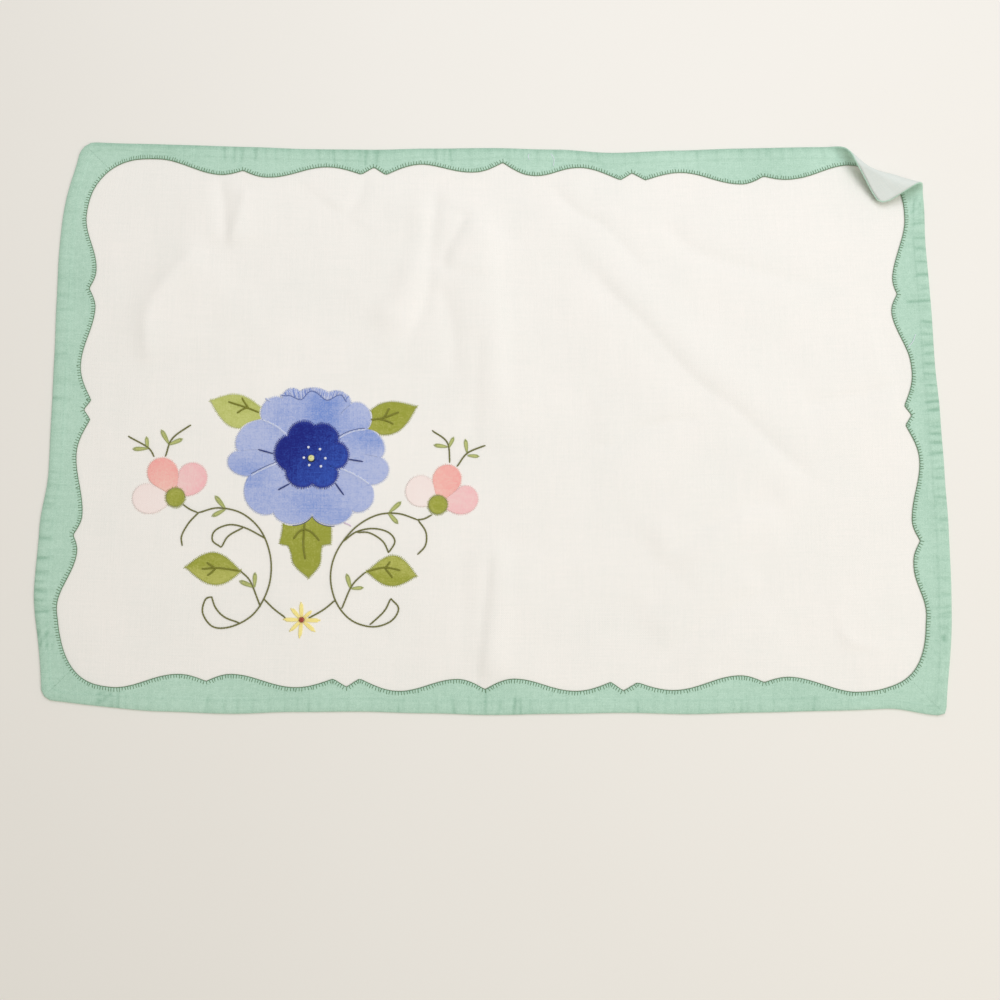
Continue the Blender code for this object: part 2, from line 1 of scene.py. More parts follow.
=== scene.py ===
import json
import math
from functools import partial

import bpy
import numpy as np
from mathutils import Matrix, Vector

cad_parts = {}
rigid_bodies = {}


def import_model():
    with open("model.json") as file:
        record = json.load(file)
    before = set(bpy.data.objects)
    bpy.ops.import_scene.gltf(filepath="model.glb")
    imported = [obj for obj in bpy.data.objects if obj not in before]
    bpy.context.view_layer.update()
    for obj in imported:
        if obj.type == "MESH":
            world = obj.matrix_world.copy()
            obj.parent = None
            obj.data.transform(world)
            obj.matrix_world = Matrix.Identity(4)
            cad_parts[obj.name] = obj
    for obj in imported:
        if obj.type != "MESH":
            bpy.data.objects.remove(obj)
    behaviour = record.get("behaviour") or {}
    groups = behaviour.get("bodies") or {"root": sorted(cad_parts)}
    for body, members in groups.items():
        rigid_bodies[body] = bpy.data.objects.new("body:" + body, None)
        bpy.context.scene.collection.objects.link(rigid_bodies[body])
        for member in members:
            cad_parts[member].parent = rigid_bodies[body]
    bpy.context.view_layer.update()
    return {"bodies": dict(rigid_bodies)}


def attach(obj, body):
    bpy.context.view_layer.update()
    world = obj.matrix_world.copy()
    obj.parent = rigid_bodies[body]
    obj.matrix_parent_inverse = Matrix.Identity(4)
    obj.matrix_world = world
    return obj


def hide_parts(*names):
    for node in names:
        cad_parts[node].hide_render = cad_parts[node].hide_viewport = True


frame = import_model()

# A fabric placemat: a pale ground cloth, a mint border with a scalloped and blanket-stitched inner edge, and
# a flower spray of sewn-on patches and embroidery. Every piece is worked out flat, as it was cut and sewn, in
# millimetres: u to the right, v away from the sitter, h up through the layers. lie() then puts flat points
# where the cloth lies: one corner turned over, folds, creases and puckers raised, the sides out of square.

BODY = next(iter(frame["bodies"]))
MM = 0.001

# ---- Sizes of the flat design ----

LENGTH = 432.0
DEPTH = 280.0
HALF_U = LENGTH / 2
HALF_V = DEPTH / 2
# Radius of the cloth's own corners, anticlockwise from the lower right
CORNER_RADII = (3.0, 4.0, 8.0, 6.0)

# Heights of the layers of cloth
GROUND_LOW = 0.12
GROUND_TOP = 0.55
TRIM_LOW = 0.58
TRIM_TOP = 1.06
PATCH_LOW = TRIM_LOW - 0.02
PETAL_TOP_HEIGHT = PATCH_LOW + 0.34
CENTRE_TOP = 1.5

# Width of the border along a long side, from the middle of its pattern: distance, width, whether it is sharp
LONG_SCALLOP = (
    (0.0, 11.6, "sharp"), (13.2, 16.5), (41.0, 10.6), (59.0, 16.3, "sharp"), (65.0, 12.2, "sharp"),
    (71.5, 16.2, "sharp"), (89.0, 12.0), (119.5, 18.6), (131.0, 15.2, "sharp"), (144.0, 18.6),
    (174.5, 12.0),
)
# The same along a short side
SHORT_SCALLOP = (
    (0.0, 16.2, "sharp"), (4.8, 19.8, "sharp"), (21.7, 14.0), (51.0, 18.8), (61.0, 15.0, "sharp"),
    (69.5, 17.8), (100.0, 10.0),
)
# Each side, anticlockwise: scallop, where its pattern is centred
SIDES = {
    "bottom": (LONG_SCALLOP, -3.5),
    "right": (SHORT_SCALLOP, 0.9),
    "top": (LONG_SCALLOP, 5.0),
    "left": (SHORT_SCALLOP, 3.0),
}
# How much wider than its pattern each side's border was sewn, at even distances along the side
SEWN_WIDER = {
    "bottom": (-5.0, -3.2, -1.5, -0.7, -1.0, -1.1, -1.0, -0.3, -0.3, -2.4, -1.3, -1.5, -3.5, -4.5, -5.3),
    "right": (5.4, 2.9, 0.4, -1.7, -2.5, -2.4, -2.5, 1.7, -0.6, 0.0, 0.7),
    "top": (-4.6, -4.4, -4.6, -3.0, -2.7, -3.2, -2.5, -4.5, -2.0, -1.5, -0.4, 0.3, -2.0, -2.7, -3.4),
    "left": (3.3, 1.3, -0.7, 0.5, -1.3, -0.8, -1.2, 0.2, 1.1, 1.4, 1.7),
}
CORNER_SQUARENESS = 2.7
BAND_STEP = 0.6
MITRE_STEPS = 14
MITRE_GAP = 0.03
# Where the extra point at each end of a strip lies, as a share of the first step
END_STEP = 0.06

# A strip's section at the cloth's edge, which it wraps: the outer face, in from the edge and its height, then
# the same of the inner face
EDGE_ROWS = (
    (0.3, 0.03, 0.36, 0.09), (0.1, 0.0, 0.3, 0.09), (-0.1, 0.05, 0.24, 0.12), (-0.3, 0.3, 0.14, 0.28),
    (-0.3, 0.72, 0.14, 0.44), (-0.05, 0.98, 0.3, 0.57), (0.5, 1.07, 0.7, 0.58),
)
# The same at the scalloped edge: in from that edge, height of the outer face
SCALLOP_ROWS = ((0.9, 1.06), (0.4, 1.0), (0.12, 0.86), (0.0, 0.62))
THINNEST = 0.02
HEM_COLUMNS = 5
BAND_COLUMNS = 7
# The hem turned under the strip: how far it reaches, at most which share of the width, half the slope at its
# end and how much it raises the strip
HEM_DEPTH = 6.2
HEM_SHARE = 0.6
HEM_SLOPE = 0.3
HEM_RISE = 0.16

# The flower: each lobe from one angle to the next, the rim's radius at both, and the lobe's own reach
FLOWER = (-88.6, -18.8)
PETALS = {
    "petal_top": (
        (29.0, 56.0, 29.5, 32.6, 36.6), (56.0, 77.0, 32.6, 33.0, 36.0), (77.0, 101.5, 33.0, 33.4, 35.1),
        (101.5, 117.0, 33.4, 32.8, 36.4), (117.0, 142.5, 32.8, 30.5, 36.4),
    ),
    "petal_left": ((142.5, 174.8, 29.5, 35.3, 37.5), (174.8, 197.0, 35.3, 29.5, 40.4)),
    "petal_bottom": (
        (197.0, 236.5, 29.5, 31.3, 37.7), (236.5, 272.0, 31.3, 27.0, 33.4),
        (272.0, 308.5, 27.0, 32.0, 34.4), (308.5, 336.0, 32.0, 30.0, 36.8),
    ),
    "petal_right": ((336.0, 361.0, 30.0, 32.7, 37.7), (361.0, 389.0, 32.7, 29.0, 35.4)),
}
# Where neighbouring petals meet: the line's angle at the rim, half way in and at the centre patch, and how
# far out the rim is there
MEETING_LINES = {
    29.0: (29.0, 36.5, 37.5, 29.5),
    142.5: (142.5, 137.8, 140.5, 30.0),
    197.0: (197.0, 191.5, 184.5, 29.5),
    336.0: (336.0, 340.0, 341.0, 30.0),
    389.0: (389.0, 396.5, 397.5, 29.0),
}
# Which of its two neighbours each petal lies over: the one before it, the one after it
LIES_OVER = {
    "petal_top": (False, False),
    "petal_left": (True, False),
    "petal_bottom": (True, True),
    "petal_right": (False, True),
}
PETAL_HEART = 9.0
# The share of a meeting line that shows, from the rim in to the centre patch
MEETING_SHOWS = 0.72
OVERLAP = 0.7
OVERLAP_LIFT = 0.34
CENTRE_LOBES = (
    (32.5, 86.5, 14.3, 15.5, 18.4), (86.5, 135.5, 15.5, 15.5, 19.1), (135.5, 205.0, 15.5, 12.7, 18.1),
    (205.0, 274.0, 12.7, 11.8, 15.5), (274.0, 338.0, 11.8, 12.7, 16.2), (338.0, 392.5, 12.7, 14.3, 17.8),
)
LOBE_ROUNDNESS = 0.55

# Leaves: base, tip, greatest half width on the left and right of the midrib, where either width falls
LEAVES = {
    "leaf_upper_left": ((-108.0, 1.7), (-138.6, 9.2), 10.25, 6.6, 0.52, 0.56),
    "leaf_upper_right": ((-67.2, -4.5), (-38.3, 7.3), 8.1, 8.5, 0.50, 0.52),
    "leaf_side_left": ((-120.4, -73.3), (-147.2, -71.9), 7.7, 8.2, 0.45, 0.51),
    "leaf_side_right": ((-61.0, -73.2), (-36.9, -75.1), 9.1, 6.1, 0.51, 0.50),
}
# The lower leaf hangs under the flower: distance below its top, half width, whether it is sharp
LOWER_LEAF_TOP = (-90.6, -42.0)
LOWER_LEAF_LEAN = 0.07
LOWER_LEAF_LEFT = (
    (0.0, 9.0, "sharp"), (8.0, 11.8), (18.2, 13.8, "sharp"), (18.7, 9.8, "sharp"), (25.0, 8.0),
    (34.5, 0.0, "sharp"),
)
LOWER_LEAF_RIGHT = (
    (0.0, 9.0, "sharp"), (8.0, 11.9), (18.2, 11.4, "sharp"), (18.7, 7.2, "sharp"), (25.0, 6.4),
    (34.5, 0.0, "sharp"),
)

# Buds: calyx place, then one petal a row in the flower's way of giving lobes
CALYX_RADIUS = 4.85
CALYX_TONE = 0.75
BUDS = {
    "bud_left": (
        (-153.2, -38.6),
        {
            "coral": (85.0, 151.0, 9.6, 11.6, 21.3),
            "pink": (9.0, 85.0, 6.5, 11.0, 19.7),
            "pale": (153.0, 224.0, 12.0, 7.0, 20.7),
        },
    ),
    "bud_right": (
        (-27.7, -40.9),
        {
            "coral": (39.0, 103.0, 10.3, 10.7, 20.6),
            "pink": (-27.0, 39.0, 7.9, 13.4, 19.5),
            "pale": (103.0, 187.0, 10.0, 7.1, 18.2),
        },
    ),
}

# The corner turned over its face, far right: a point near the bend, the way to the corner, how far past the
# point the bend starts, how much it curves and where along it that curve is centred. The roll is dented: by
# how much, where along the bend and how far to both sides of that
TURN_POINT = (190.0, 128.0)
TURN_DEGREES = 55.8
TURN_START = -4.6
TURN_CURVE = 0.0058
TURN_CURVE_AT = 5.0
TURN_BACK = 210.0
TURN_AXIS_HEIGHT = 4.6
TURN_NEUTRAL = 0.5
TURN_DENT = (2.2, 0.0, 14.0)

# How far each side of the mat lies out of square, how far outside that its edge runs at even distances along
# the side, and how far the mat's corners are drawn in
TOP_BOW = (-1.7, 3.5)
BOTTOM_BOW = (-2.0, 2.6)
LEFT_SHIFT = -0.4
RIGHT_BOW = (2.5, -3.0, -10.0, 120.0)
EDGE_WAVES = {
    "bottom": (-1.2, -2.2, -1.0, -0.4, -1.5, -1.8, -1.1, -0.4, -1.0, -1.5, -0.9, -1.5, -1.9, -2.0, 2.5),
    "right": (0.2, 0.2, -0.1, -0.5, -1.3, -1.9, -2.8, -2.5, -2.5, -1.1, 0.1),
    "top": (0.3, 0.0, -0.2, -0.5, -1.1, -1.0, -0.1, 0.3, -0.5, -2.4, -1.5, -0.9, -0.8, -1.2, -1.6),
    "left": (1.6, -0.6, 1.8, 1.1, -1.6, -1.3, -1.0, -0.4, 0.1, 0.5, -1.1),
}
WAVE_REACH = 45.0
DRAWN_CORNERS = (
    (-HALF_U, HALF_V, 6.5, -0.5, 22.0), (-HALF_U, -HALF_V, 6.0, 3.0, 16.0),
    (HALF_U, -HALF_V, -3.5, 0.5, 20.0),
)

# Soft folds: from, by way of, to, height, and how far the slope runs to the left and right of that way
FOLDS = (
    ((-9.0, 118.0), (-3.0, 60.0), (-3.0, -6.0), 1.5, 13.0, 26.0),
    ((-3.0, -48.0), (-3.0, -90.0), (-3.0, -130.0), 1.3, 14.0, 14.0),
    ((-38.0, 120.0), (-38.0, 78.0), (-66.0, 38.0), 1.2, 24.0, 12.0),
    ((40.0, 104.0), (86.0, 38.0), (142.0, -12.0), 1.3, 22.0, 13.0),
    ((132.0, -42.0), (100.0, -58.0), (72.0, -64.0), 0.9, 12.0, 16.0),
)
FOLD_TAPER = 0.22
# Finer creases: the places each passes, rise, how fast it dies away on its left and right, how rounded it is.
# A trough has the cloth beside it raised by as much, because it cannot sink into the table
CREASES = (
    (((-28, 126), (-30, 103), (-32, 85), (-33, 67), (-37, 53), (-42, 43), (-50, 32)), -1.9, 4.5, 6.0, 0.6),
    (((-12, 108), (-19, 95), (-24, 85), (-27, 74)), -1.9, 3.0, 14.0, 0.6),
    (((-29, 72), (-24, 59), (-21, 44), (-21, 33), (-22, 19)), -1.3, 7.0, 10.0, 0.6),
    (((-8, 49), (-9, 24), (-10, 4), (-11, -16)), -0.9, 3.5, 12.0, 0.7),
    (((-2, -55), (-4, -84), (-6, -107), (-8, -135)), -1.8, 3.0, 12.0, 0.5),
    (((23, 127), (40, 108), (53, 100), (65, 87), (79, 70)), -1.5, 4.0, 10.0, 0.8),
    (((37, 91), (55, 67), (72, 49), (96, 21), (117, 4), (143, -22), (167, -40)), -2.7, 9.0, 10.0, 0.7),
    (((78, 107), (97, 87), (119, 78), (146, 70), (171, 66)), -2.0, 7.0, 6.0, 1.4),
    (((42, -14), (56, -12), (65, -6), (81, -1), (105, 2)), -1.1, 3.0, 3.0, 0.5),
    (((144, 6), (168, 10), (188, 14), (201, 18)), -1.5, 4.0, 6.0, 0.5),
    (((74, -72), (94, -56), (116, -44), (140, -34)), -2.0, 7.0, 8.0, 0.8),
    (((78, -116), (98, -100), (117, -88), (134, -80)), -1.7, 5.0, 9.0, 1.2),
    (((-142, 93), (-160, 72), (-169, 57), (-171, 44), (-168, 21)), 2.3, 18.0, 7.0, 0.8),
    (((-138, 127), (-135, 106), (-133, 85)), -1.2, 3.0, 3.0, 0.5),
    (((-124, 121), (-127, 104), (-133, 85)), 1.1, 5.0, 3.0, 0.5),
    (((-64, 130), (-67, 115), (-76, 102)), -1.1, 4.0, 4.0, 0.6),
    (((160, -100), (172, -108), (188, -112)), 0.6, 3.0, 3.0, 0.7),
    (((165, -116), (178, -110), (190, -98)), -0.6, 3.0, 3.0, 0.7),
)
TROUGH_REACH = 28.0
# Slow unevenness of handled cloth: height, wavelength, heading in degrees, phase
RIPPLES = (
    (0.10, 61.0, 17.0, 0.3), (0.08, 43.0, 104.0, 1.9), (0.06, 29.0, 61.0, 4.1), (0.05, 23.0, 152.0, 2.6),
    (0.03, 13.0, 8.0, 5.2), (0.03, 11.0, 83.0, 0.9),
)
# How far in from the edge the cloth settles onto the table, how high it lies at least and how keenly it meets
# that height
SETTLED_REACH = 25.0
LEAST_RISE = 0.12
KEENNESS = 6.0
# Puckers across the border's hem on each side: height, distance from one to the next
PUCKERS = {"bottom": (0.22, 7.1), "right": (0.42, 6.3), "top": (0.26, 7.6), "left": (0.30, 7.9)}
PUCKER_REACH = 8.5
# Sharp pleats in the border's hem: distance along the side, depth, how far in from the edge they run
PLEATS = {
    "bottom": (
        (-185.0, 0.7, 8.0), (-181.5, 0.6, 8.0), (-178.5, 0.7, 8.0), (-175.5, 0.5, 8.0), (-134.0, 0.4, 9.0),
        (-85.8, 0.3, 6.0), (-43.7, 0.3, 6.0), (-17.9, 0.3, 9.0), (-3.0, 0.5, 13.0), (3.1, 0.4, 7.0),
        (10.2, 0.6, 9.0), (13.4, 0.5, 9.0), (68.6, 0.3, 5.0), (116.8, 0.4, 6.0), (150.5, 0.4, 7.0),
    ),
    "right": (
        (108.0, 0.6, 8.0), (104.0, 0.8, 8.0), (98.0, 0.6, 8.0), (90.2, 0.7, 7.0), (84.5, 0.6, 7.0),
        (77.8, 0.7, 7.0), (71.6, 0.9, 7.0), (64.4, 0.5, 6.0), (58.0, 1.0, 13.0), (47.0, 0.8, 7.0),
        (40.9, 0.6, 7.0), (35.8, 0.7, 7.0), (31.8, 0.5, 6.0), (26.3, 0.8, 7.0), (20.7, 0.8, 7.0),
        (15.2, 0.6, 7.0), (7.5, 1.0, 8.0), (3.7, 0.6, 7.0), (-5.2, 0.6, 7.0), (-9.1, 0.6, 7.0),
        (-13.1, 0.7, 7.0), (-18.0, 0.7, 8.0), (-25.4, 0.5, 7.0), (-30.2, 0.6, 7.0), (-40.0, 0.6, 7.0),
        (-50.6, 0.4, 6.0), (-94.5, 0.5, 7.0), (-105.8, 0.6, 8.0),
    ),
    "top": (
        (-136.0, 0.4, 9.0), (-130.4, 0.5, 9.0), (-125.9, 0.4, 9.0), (-119.4, 0.4, 8.0), (-88.1, 0.4, 8.0),
        (-80.6, 0.5, 8.0), (-63.9, 0.6, 10.0), (-57.9, 0.5, 9.0), (-28.7, 0.4, 8.0), (-21.6, 0.5, 9.0),
        (52.9, 0.3, 6.0), (103.3, 0.3, 6.0), (138.5, 0.3, 6.0),
    ),
    "left": (
        (29.9, 0.4, 7.0), (8.3, 0.4, 7.0), (-43.3, 0.4, 6.0), (-60.2, 0.5, 7.0), (-69.8, 0.6, 7.0),
        (-76.4, 0.6, 7.0), (-80.7, 0.5, 6.0), (-85.0, 0.6, 7.0), (-89.7, 0.6, 6.0), (-95.4, 0.8, 8.0),
        (-100.6, 0.7, 7.0), (-105.7, 0.8, 8.0), (-110.9, 0.9, 8.0),
    ),
}
# How much painted shade darkens the hem's rolled outer edge on each side, more on the sides turned from the
# light
ROLL_PAINTED_SHADES = {"bottom": 0.1, "right": 0.0, "top": 0.4, "left": 0.2}
# A pleat's half width and depth, the height under which the cloth's edge has none and how it fades in above
PLEAT_WIDTH = 0.75
PLEAT_DEPTH = 0.3
PLEAT_FOOT = 0.6
PLEAT_FADE = 0.4

# ---- Laying the flat design down ----


def from_side(u, v, side):
    """Distance along one side of the cloth from its middle, and distance in from its edge."""
    return {
        "bottom": (u, HALF_V + v),
        "right": (v, HALF_U - u),
        "top": (u, HALF_V - v),
        "left": (v, HALF_U + u),
    }[side]


def raised(share):
    """Half a cosine wave: 0 at a share of 0, easing up to 1 at a share of 1."""
    return (1 - np.cos(math.pi * share)) / 2


def fading(share):
    """The same wave going down: 1 at a share of 0, easing down to 0 at a share of 1 and beyond."""
    return (1 + np.cos(math.pi * np.clip(share, 0, 1))) / 2


def waved(values, side, along):
    """A smooth line through values at even distances along a side: a cosine between each two."""
    half = HALF_U if side in ("bottom", "top") else HALF_V
    at = np.clip((along + half) / (2 * half), 0, 1) * (len(values) - 1)
    i = np.minimum(at.astype(int), len(values) - 2)
    s = raised(at - i)
    values = np.array(values)
    return values[i] * (1 - s) + values[i + 1] * s


def bent(start, way, end):
    """Points along the quadratic curve that passes its middle place half way."""
    start, way, end = np.array(start), np.array(way), np.array(end)
    s = np.linspace(0, 1, 33)
    control = 2 * way - (start + end) / 2
    return np.outer((1 - s) ** 2, start) + np.outer(2 * s * (1 - s), control) + np.outer(s**2, end)


def beside(u, v, path):
    """Each point's distance across a curve of evenly spaced points, left positive, and its share along it."""
    s = np.linspace(0, 1, len(path))
    heading = np.gradient(path, s, axis=0)
    speed = np.hypot(heading[:, 0], heading[:, 1])
    heading /= speed[:, None]
    du = u[..., None] - path[:, 0]
    dv = v[..., None] - path[:, 1]
    nearest = np.argmin(du**2 + dv**2, axis=-1)
    du = np.take_along_axis(du, nearest[..., None], -1)[..., 0]
    dv = np.take_along_axis(dv, nearest[..., None], -1)[..., 0]
    across = heading[nearest, 0] * dv - heading[nearest, 1] * du
    ahead = heading[nearest, 0] * du + heading[nearest, 1] * dv
    return across, s[nearest] + ahead / speed[nearest]


def tapered(share):
    """1 along the middle of a fold, easing to 0 at both its ends."""
    return raised(np.clip(np.minimum(share, 1 - share) / FOLD_TAPER, 0, 1))


def fold_height(u, v):
    """The soft folds: raised cosines across quadratic curves, with a reach on each side."""
    height = np.zeros(np.shape(u))
    for start, way, end, rise, left, right in FOLDS:
        across, share = beside(u, v, bent(start, way, end))
        height += rise * fading(np.abs(across) / np.where(across > 0, left, right)) * tapered(share)
    return height


def crease_height(u, v):
    """The creases: ridges and troughs that are keen at the line and die away exponentially on both sides.

    Round a trough the cloth is raised by a Gaussian as high as the trough is deep. Where several troughs
    raise it, it rises by the cube root of their cubes' sum.
    """
    height, lifted = np.zeros(np.shape(u)), np.zeros(np.shape(u))
    for places, rise, left, right, rounding in CREASES:
        across, share = beside(u, v, smooth_curve(places, 3.0))
        reach = np.where(across > 0, left, right)
        keen = rise * np.exp(-(np.hypot(across, rounding) - rounding) / reach)
        height += keen * tapered(share)
        lifted += (max(-rise, 0) * np.exp(-((across / TROUGH_REACH) ** 2)) * tapered(share)) ** 3
    return height + np.cbrt(lifted)


def ripple_height(u, v):
    """Handled cloth never lies dead flat: a few long sine waves in different directions."""
    height = np.zeros(np.shape(u))
    for rise, length, heading, phase in RIPPLES:
        turn = math.radians(heading)
        height += rise * np.sin(2 * math.pi * (u * math.cos(turn) + v * math.sin(turn)) / length + phase)
    return height


def puckers(u, v):
    """For each side, how much its hem is gathered and the share of a furrow, narrow between two ridges."""
    for k, (side, (rise, pitch)) in enumerate(PUCKERS.items()):
        along, inward = from_side(u, v, side)
        phase = along / pitch + 0.42 * np.sin(along / 15.0 + k) + 0.25 * np.sin(along / 6.7 + 2 * k)
        furrow = (0.5 + 0.5 * np.cos(2 * math.pi * phase)) ** 5
        strength = 0.62 + 0.38 * np.sin(along / 27.0 + 1.7 * k) * np.sin(along / 11.0 + k)
        fade = np.clip(1.25 - inward / PUCKER_REACH, 0, 1) * np.clip(inward / 1.2 + 0.45, 0, 1)
        yield rise * strength * np.where(inward < PUCKER_REACH * 1.25, fade, 0), furrow


def pucker_height(u, v):
    """Short ridges square to the edge with narrow furrows between them, their spacing and height uneven."""
    return sum(gathered * (1 - furrow) for gathered, furrow in puckers(u, v))


def furrow_shade(u, v):
    """How deep in a hem's furrow each place lies, from 0 to about 1."""
    return sum(gathered * furrow for gathered, furrow in puckers(u, v)) / 0.4


def pleat_share(u, v, side):
    """How deep in a side's pleats each place lies, from 0 to 1: Gaussian furrows that lean a little."""
    along, inward = from_side(u, v, side)
    share = np.zeros(np.shape(u))
    for k, (at, depth, reach) in enumerate(PLEATS[side]):
        lean = 0.12 * math.sin(5.0 * k + 1.0)
        fade = np.clip((reach - inward) / 2.5, 0, 1)
        share = np.maximum(share, depth * fade * np.exp(-(((along - at - lean * inward) / PLEAT_WIDTH) ** 2)))
    return share


def relief(u, v):
    """Height of the cloth above the table at flat points, never under it."""
    rolling = fold_height(u, v) + crease_height(u, v) + ripple_height(u, v)
    inward = np.minimum(HALF_U - np.abs(u), HALF_V - np.abs(v))
    settled = np.clip(inward / SETTLED_REACH, 0, 1) ** 0.7
    softened = np.logaddexp(0.0, (rolling + LEAST_RISE) * KEENNESS) / KEENNESS
    return softened * settled + pucker_height(u, v)


def turn_corner(u, v, h):
    """The far right corner bent back over the face: a roll about a level axis, then straight on.

    The line where the bend starts is a parabola that comes nearest to the mat's middle half way along.
    """
    turn = math.radians(TURN_DEGREES)
    normal = (math.cos(turn), math.sin(turn))
    sideways = (v - TURN_POINT[1]) * normal[0] - (u - TURN_POINT[0]) * normal[1]
    start = TURN_START + TURN_CURVE * (sideways - TURN_CURVE_AT) ** 2
    past = (u - TURN_POINT[0]) * normal[0] + (v - TURN_POINT[1]) * normal[1] - start
    full = math.radians(TURN_BACK)
    neutral = TURN_AXIS_HEIGHT - TURN_NEUTRAL
    angle = np.clip(past / neutral, 0, full)
    flap = np.maximum(past - neutral * full, 0)
    arm = TURN_AXIS_HEIGHT - h
    depth, where, spread = TURN_DENT
    dent = depth * fading(np.abs(sideways - where) / spread)
    reach = (arm - dent) * np.sin(angle) + flap * math.cos(full)
    lift = TURN_AXIS_HEIGHT - arm * np.cos(angle) + flap * math.sin(full)
    bent = past > 0
    u = np.where(bent, u + (reach - past) * normal[0], u)
    v = np.where(bent, v + (reach - past) * normal[1], v)
    return u, v, np.where(bent, lift, h)


def out_of_square(u, v):
    """Where flat points lie on the table: the sides bow a little and three corners are drawn in."""
    top = TOP_BOW[0] + TOP_BOW[1] * (u / HALF_U) ** 2
    bottom = BOTTOM_BOW[0] + BOTTOM_BOW[1] * (u / HALF_U) ** 4
    right = RIGHT_BOW[0] + RIGHT_BOW[1] * ((v - RIGHT_BOW[2]) / RIGHT_BOW[3]) ** 2
    far = (v + HALF_V) / DEPTH
    rightward = (u + HALF_U) / LENGTH
    x = u + rightward * right + (1 - rightward) * LEFT_SHIFT
    y = v + far * top + (1 - far) * bottom
    for side, (way_u, way_v) in {"bottom": (0, -1), "right": (1, 0), "top": (0, 1), "left": (-1, 0)}.items():
        along, inward = from_side(u, v, side)
        push = waved(EDGE_WAVES[side], side, along) * fading(inward / WAVE_REACH)
        x = x + way_u * push
        y = y + way_v * push
    for corner_u, corner_v, pull_u, pull_v, spread in DRAWN_CORNERS:
        share = np.exp(-((u - corner_u) ** 2 + (v - corner_v) ** 2) / (2 * spread**2))
        x = x + pull_u * share
        y = y + pull_v * share
    return x, y


def lie(points):
    """Flat points (u, v, h) in millimetres laid down, as points in metres."""
    flat_u, flat_v = points[..., 0], points[..., 1]
    u, v, z = turn_corner(flat_u, flat_v, points[..., 2])
    z = z + relief(flat_u, flat_v)
    x, y = out_of_square(u, v)
    return np.stack([x, y, z], axis=-1) * MM


def with_height(flat, height):
    """Flat places (u, v) with a height h, which is one number or one a place."""
    return np.concatenate([flat, np.broadcast_to(height, flat.shape[:-1])[..., None]], axis=-1)


# ---- Meshes ----

STRAND_SIDES = 6
STITCH_SHARES = np.array([0.0, 0.1, 0.5, 0.9, 1.0])
STITCH_SWELL = np.array([0.4, 0.9, 1.0, 0.9, 0.4])


def grid_quads(rows, columns):
    """Corner numbers of the quads of a grid whose points are numbered row by row."""
    i, j = np.meshgrid(np.arange(rows - 1), np.arange(columns - 1), indexing="ij")
    a = i * columns + j
    return np.stack([a, a + 1, a + columns + 1, a + columns], axis=-1).reshape(-1, 4)


def two_faced_quads(rows, columns):
    """Quads of a sheet: the upper grid, the lower grid turned over and the strip that joins their edges."""
    count = rows * columns
    upper = grid_quads(rows, columns)
    edge = np.concatenate(
        [
            np.arange(columns),
            np.arange(2 * columns - 1, count, columns),
            np.arange(count - 2, count - columns - 1, -1),
            np.arange(count - 2 * columns, 0, -columns),
        ]
    )
    following = np.roll(edge, -1)
    rim = np.stack([following, edge, edge + count, following + count], axis=-1)
    return np.concatenate([upper, upper[:, ::-1] + count, rim])


def add_piece(name, points, quads, places, map_name, finish, nodes=(), tone=None):
    """A finished piece from points in metres and quads turned to face outwards, with a UV map of its own."""
    a, b, c, d = (points[quads[:, k]] for k in range(4))
    volume = (a * (np.cross(b, c) + np.cross(c, d))).sum()
    if volume < 0:
        quads, places = quads[:, ::-1], places[:, ::-1]
    mesh = bpy.data.meshes.new(name)
    mesh.vertices.add(len(points))
    mesh.vertices.foreach_set("co", points.astype(np.float32).ravel())
    mesh.loops.add(quads.size)
    mesh.loops.foreach_set("vertex_index", quads.astype(np.int32).ravel())
    mesh.polygons.add(len(quads))
    mesh.polygons.foreach_set("loop_start", np.arange(0, quads.size, 4, dtype=np.int32))
    mesh.update(calc_edges=True)
    mesh.shade_smooth()
    mesh.uv_layers.new(name=map_name)
    mesh.uv_layers[map_name].data.foreach_set("uv", places.astype(np.float32).ravel())
    if tone is not None:
        mesh.attributes.new("tone", "FLOAT", "POINT").data.foreach_set("value", tone.astype(np.float32))
    mesh.materials.append(FINISHES[finish])
    piece = bpy.data.objects.new(name, mesh)
    bpy.context.scene.collection.objects.link(piece)
    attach(piece, BODY)
    if nodes:
        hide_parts(*nodes)
    return piece


def cloth_piece(name, upper, lower, finish, node_name, tone):
    """A thin piece of cloth from its upper and lower grids of flat points (u, v, h), and all its points."""
    rows, columns = upper.shape[:2]
    quads = two_faced_quads(rows, columns)
    flat = np.concatenate([upper.reshape(-1, 3), lower.reshape(-1, 3)])
    places = flat[quads][..., :2] * MM
    tone = np.broadcast_to(tone, (2, rows, columns)).ravel()
    return add_piece(name, lie(flat), quads, places, "weave", finish, [node_name], tone), flat


def sheet_piece(name, upper, lower, finish, node_name, tone):
    """A piece of cloth; its size and its area as it was cut are worked out and not used."""
    piece, flat = cloth_piece(name, upper, lower, finish, node_name, tone)
    corners = grid_quads(*upper.shape[:2])
    a, b, c, d = (flat[corners[:, k], :2] for k in range(4))
    first, second = c - a, d - b
    area = abs((first[:, 0] * second[:, 1] - first[:, 1] * second[:, 0]).sum()) / 2 * MM**2
    size = np.sort(np.ptp(flat[:, :2], axis=0)) * MM
    area = min(area, size[0] * size[1])


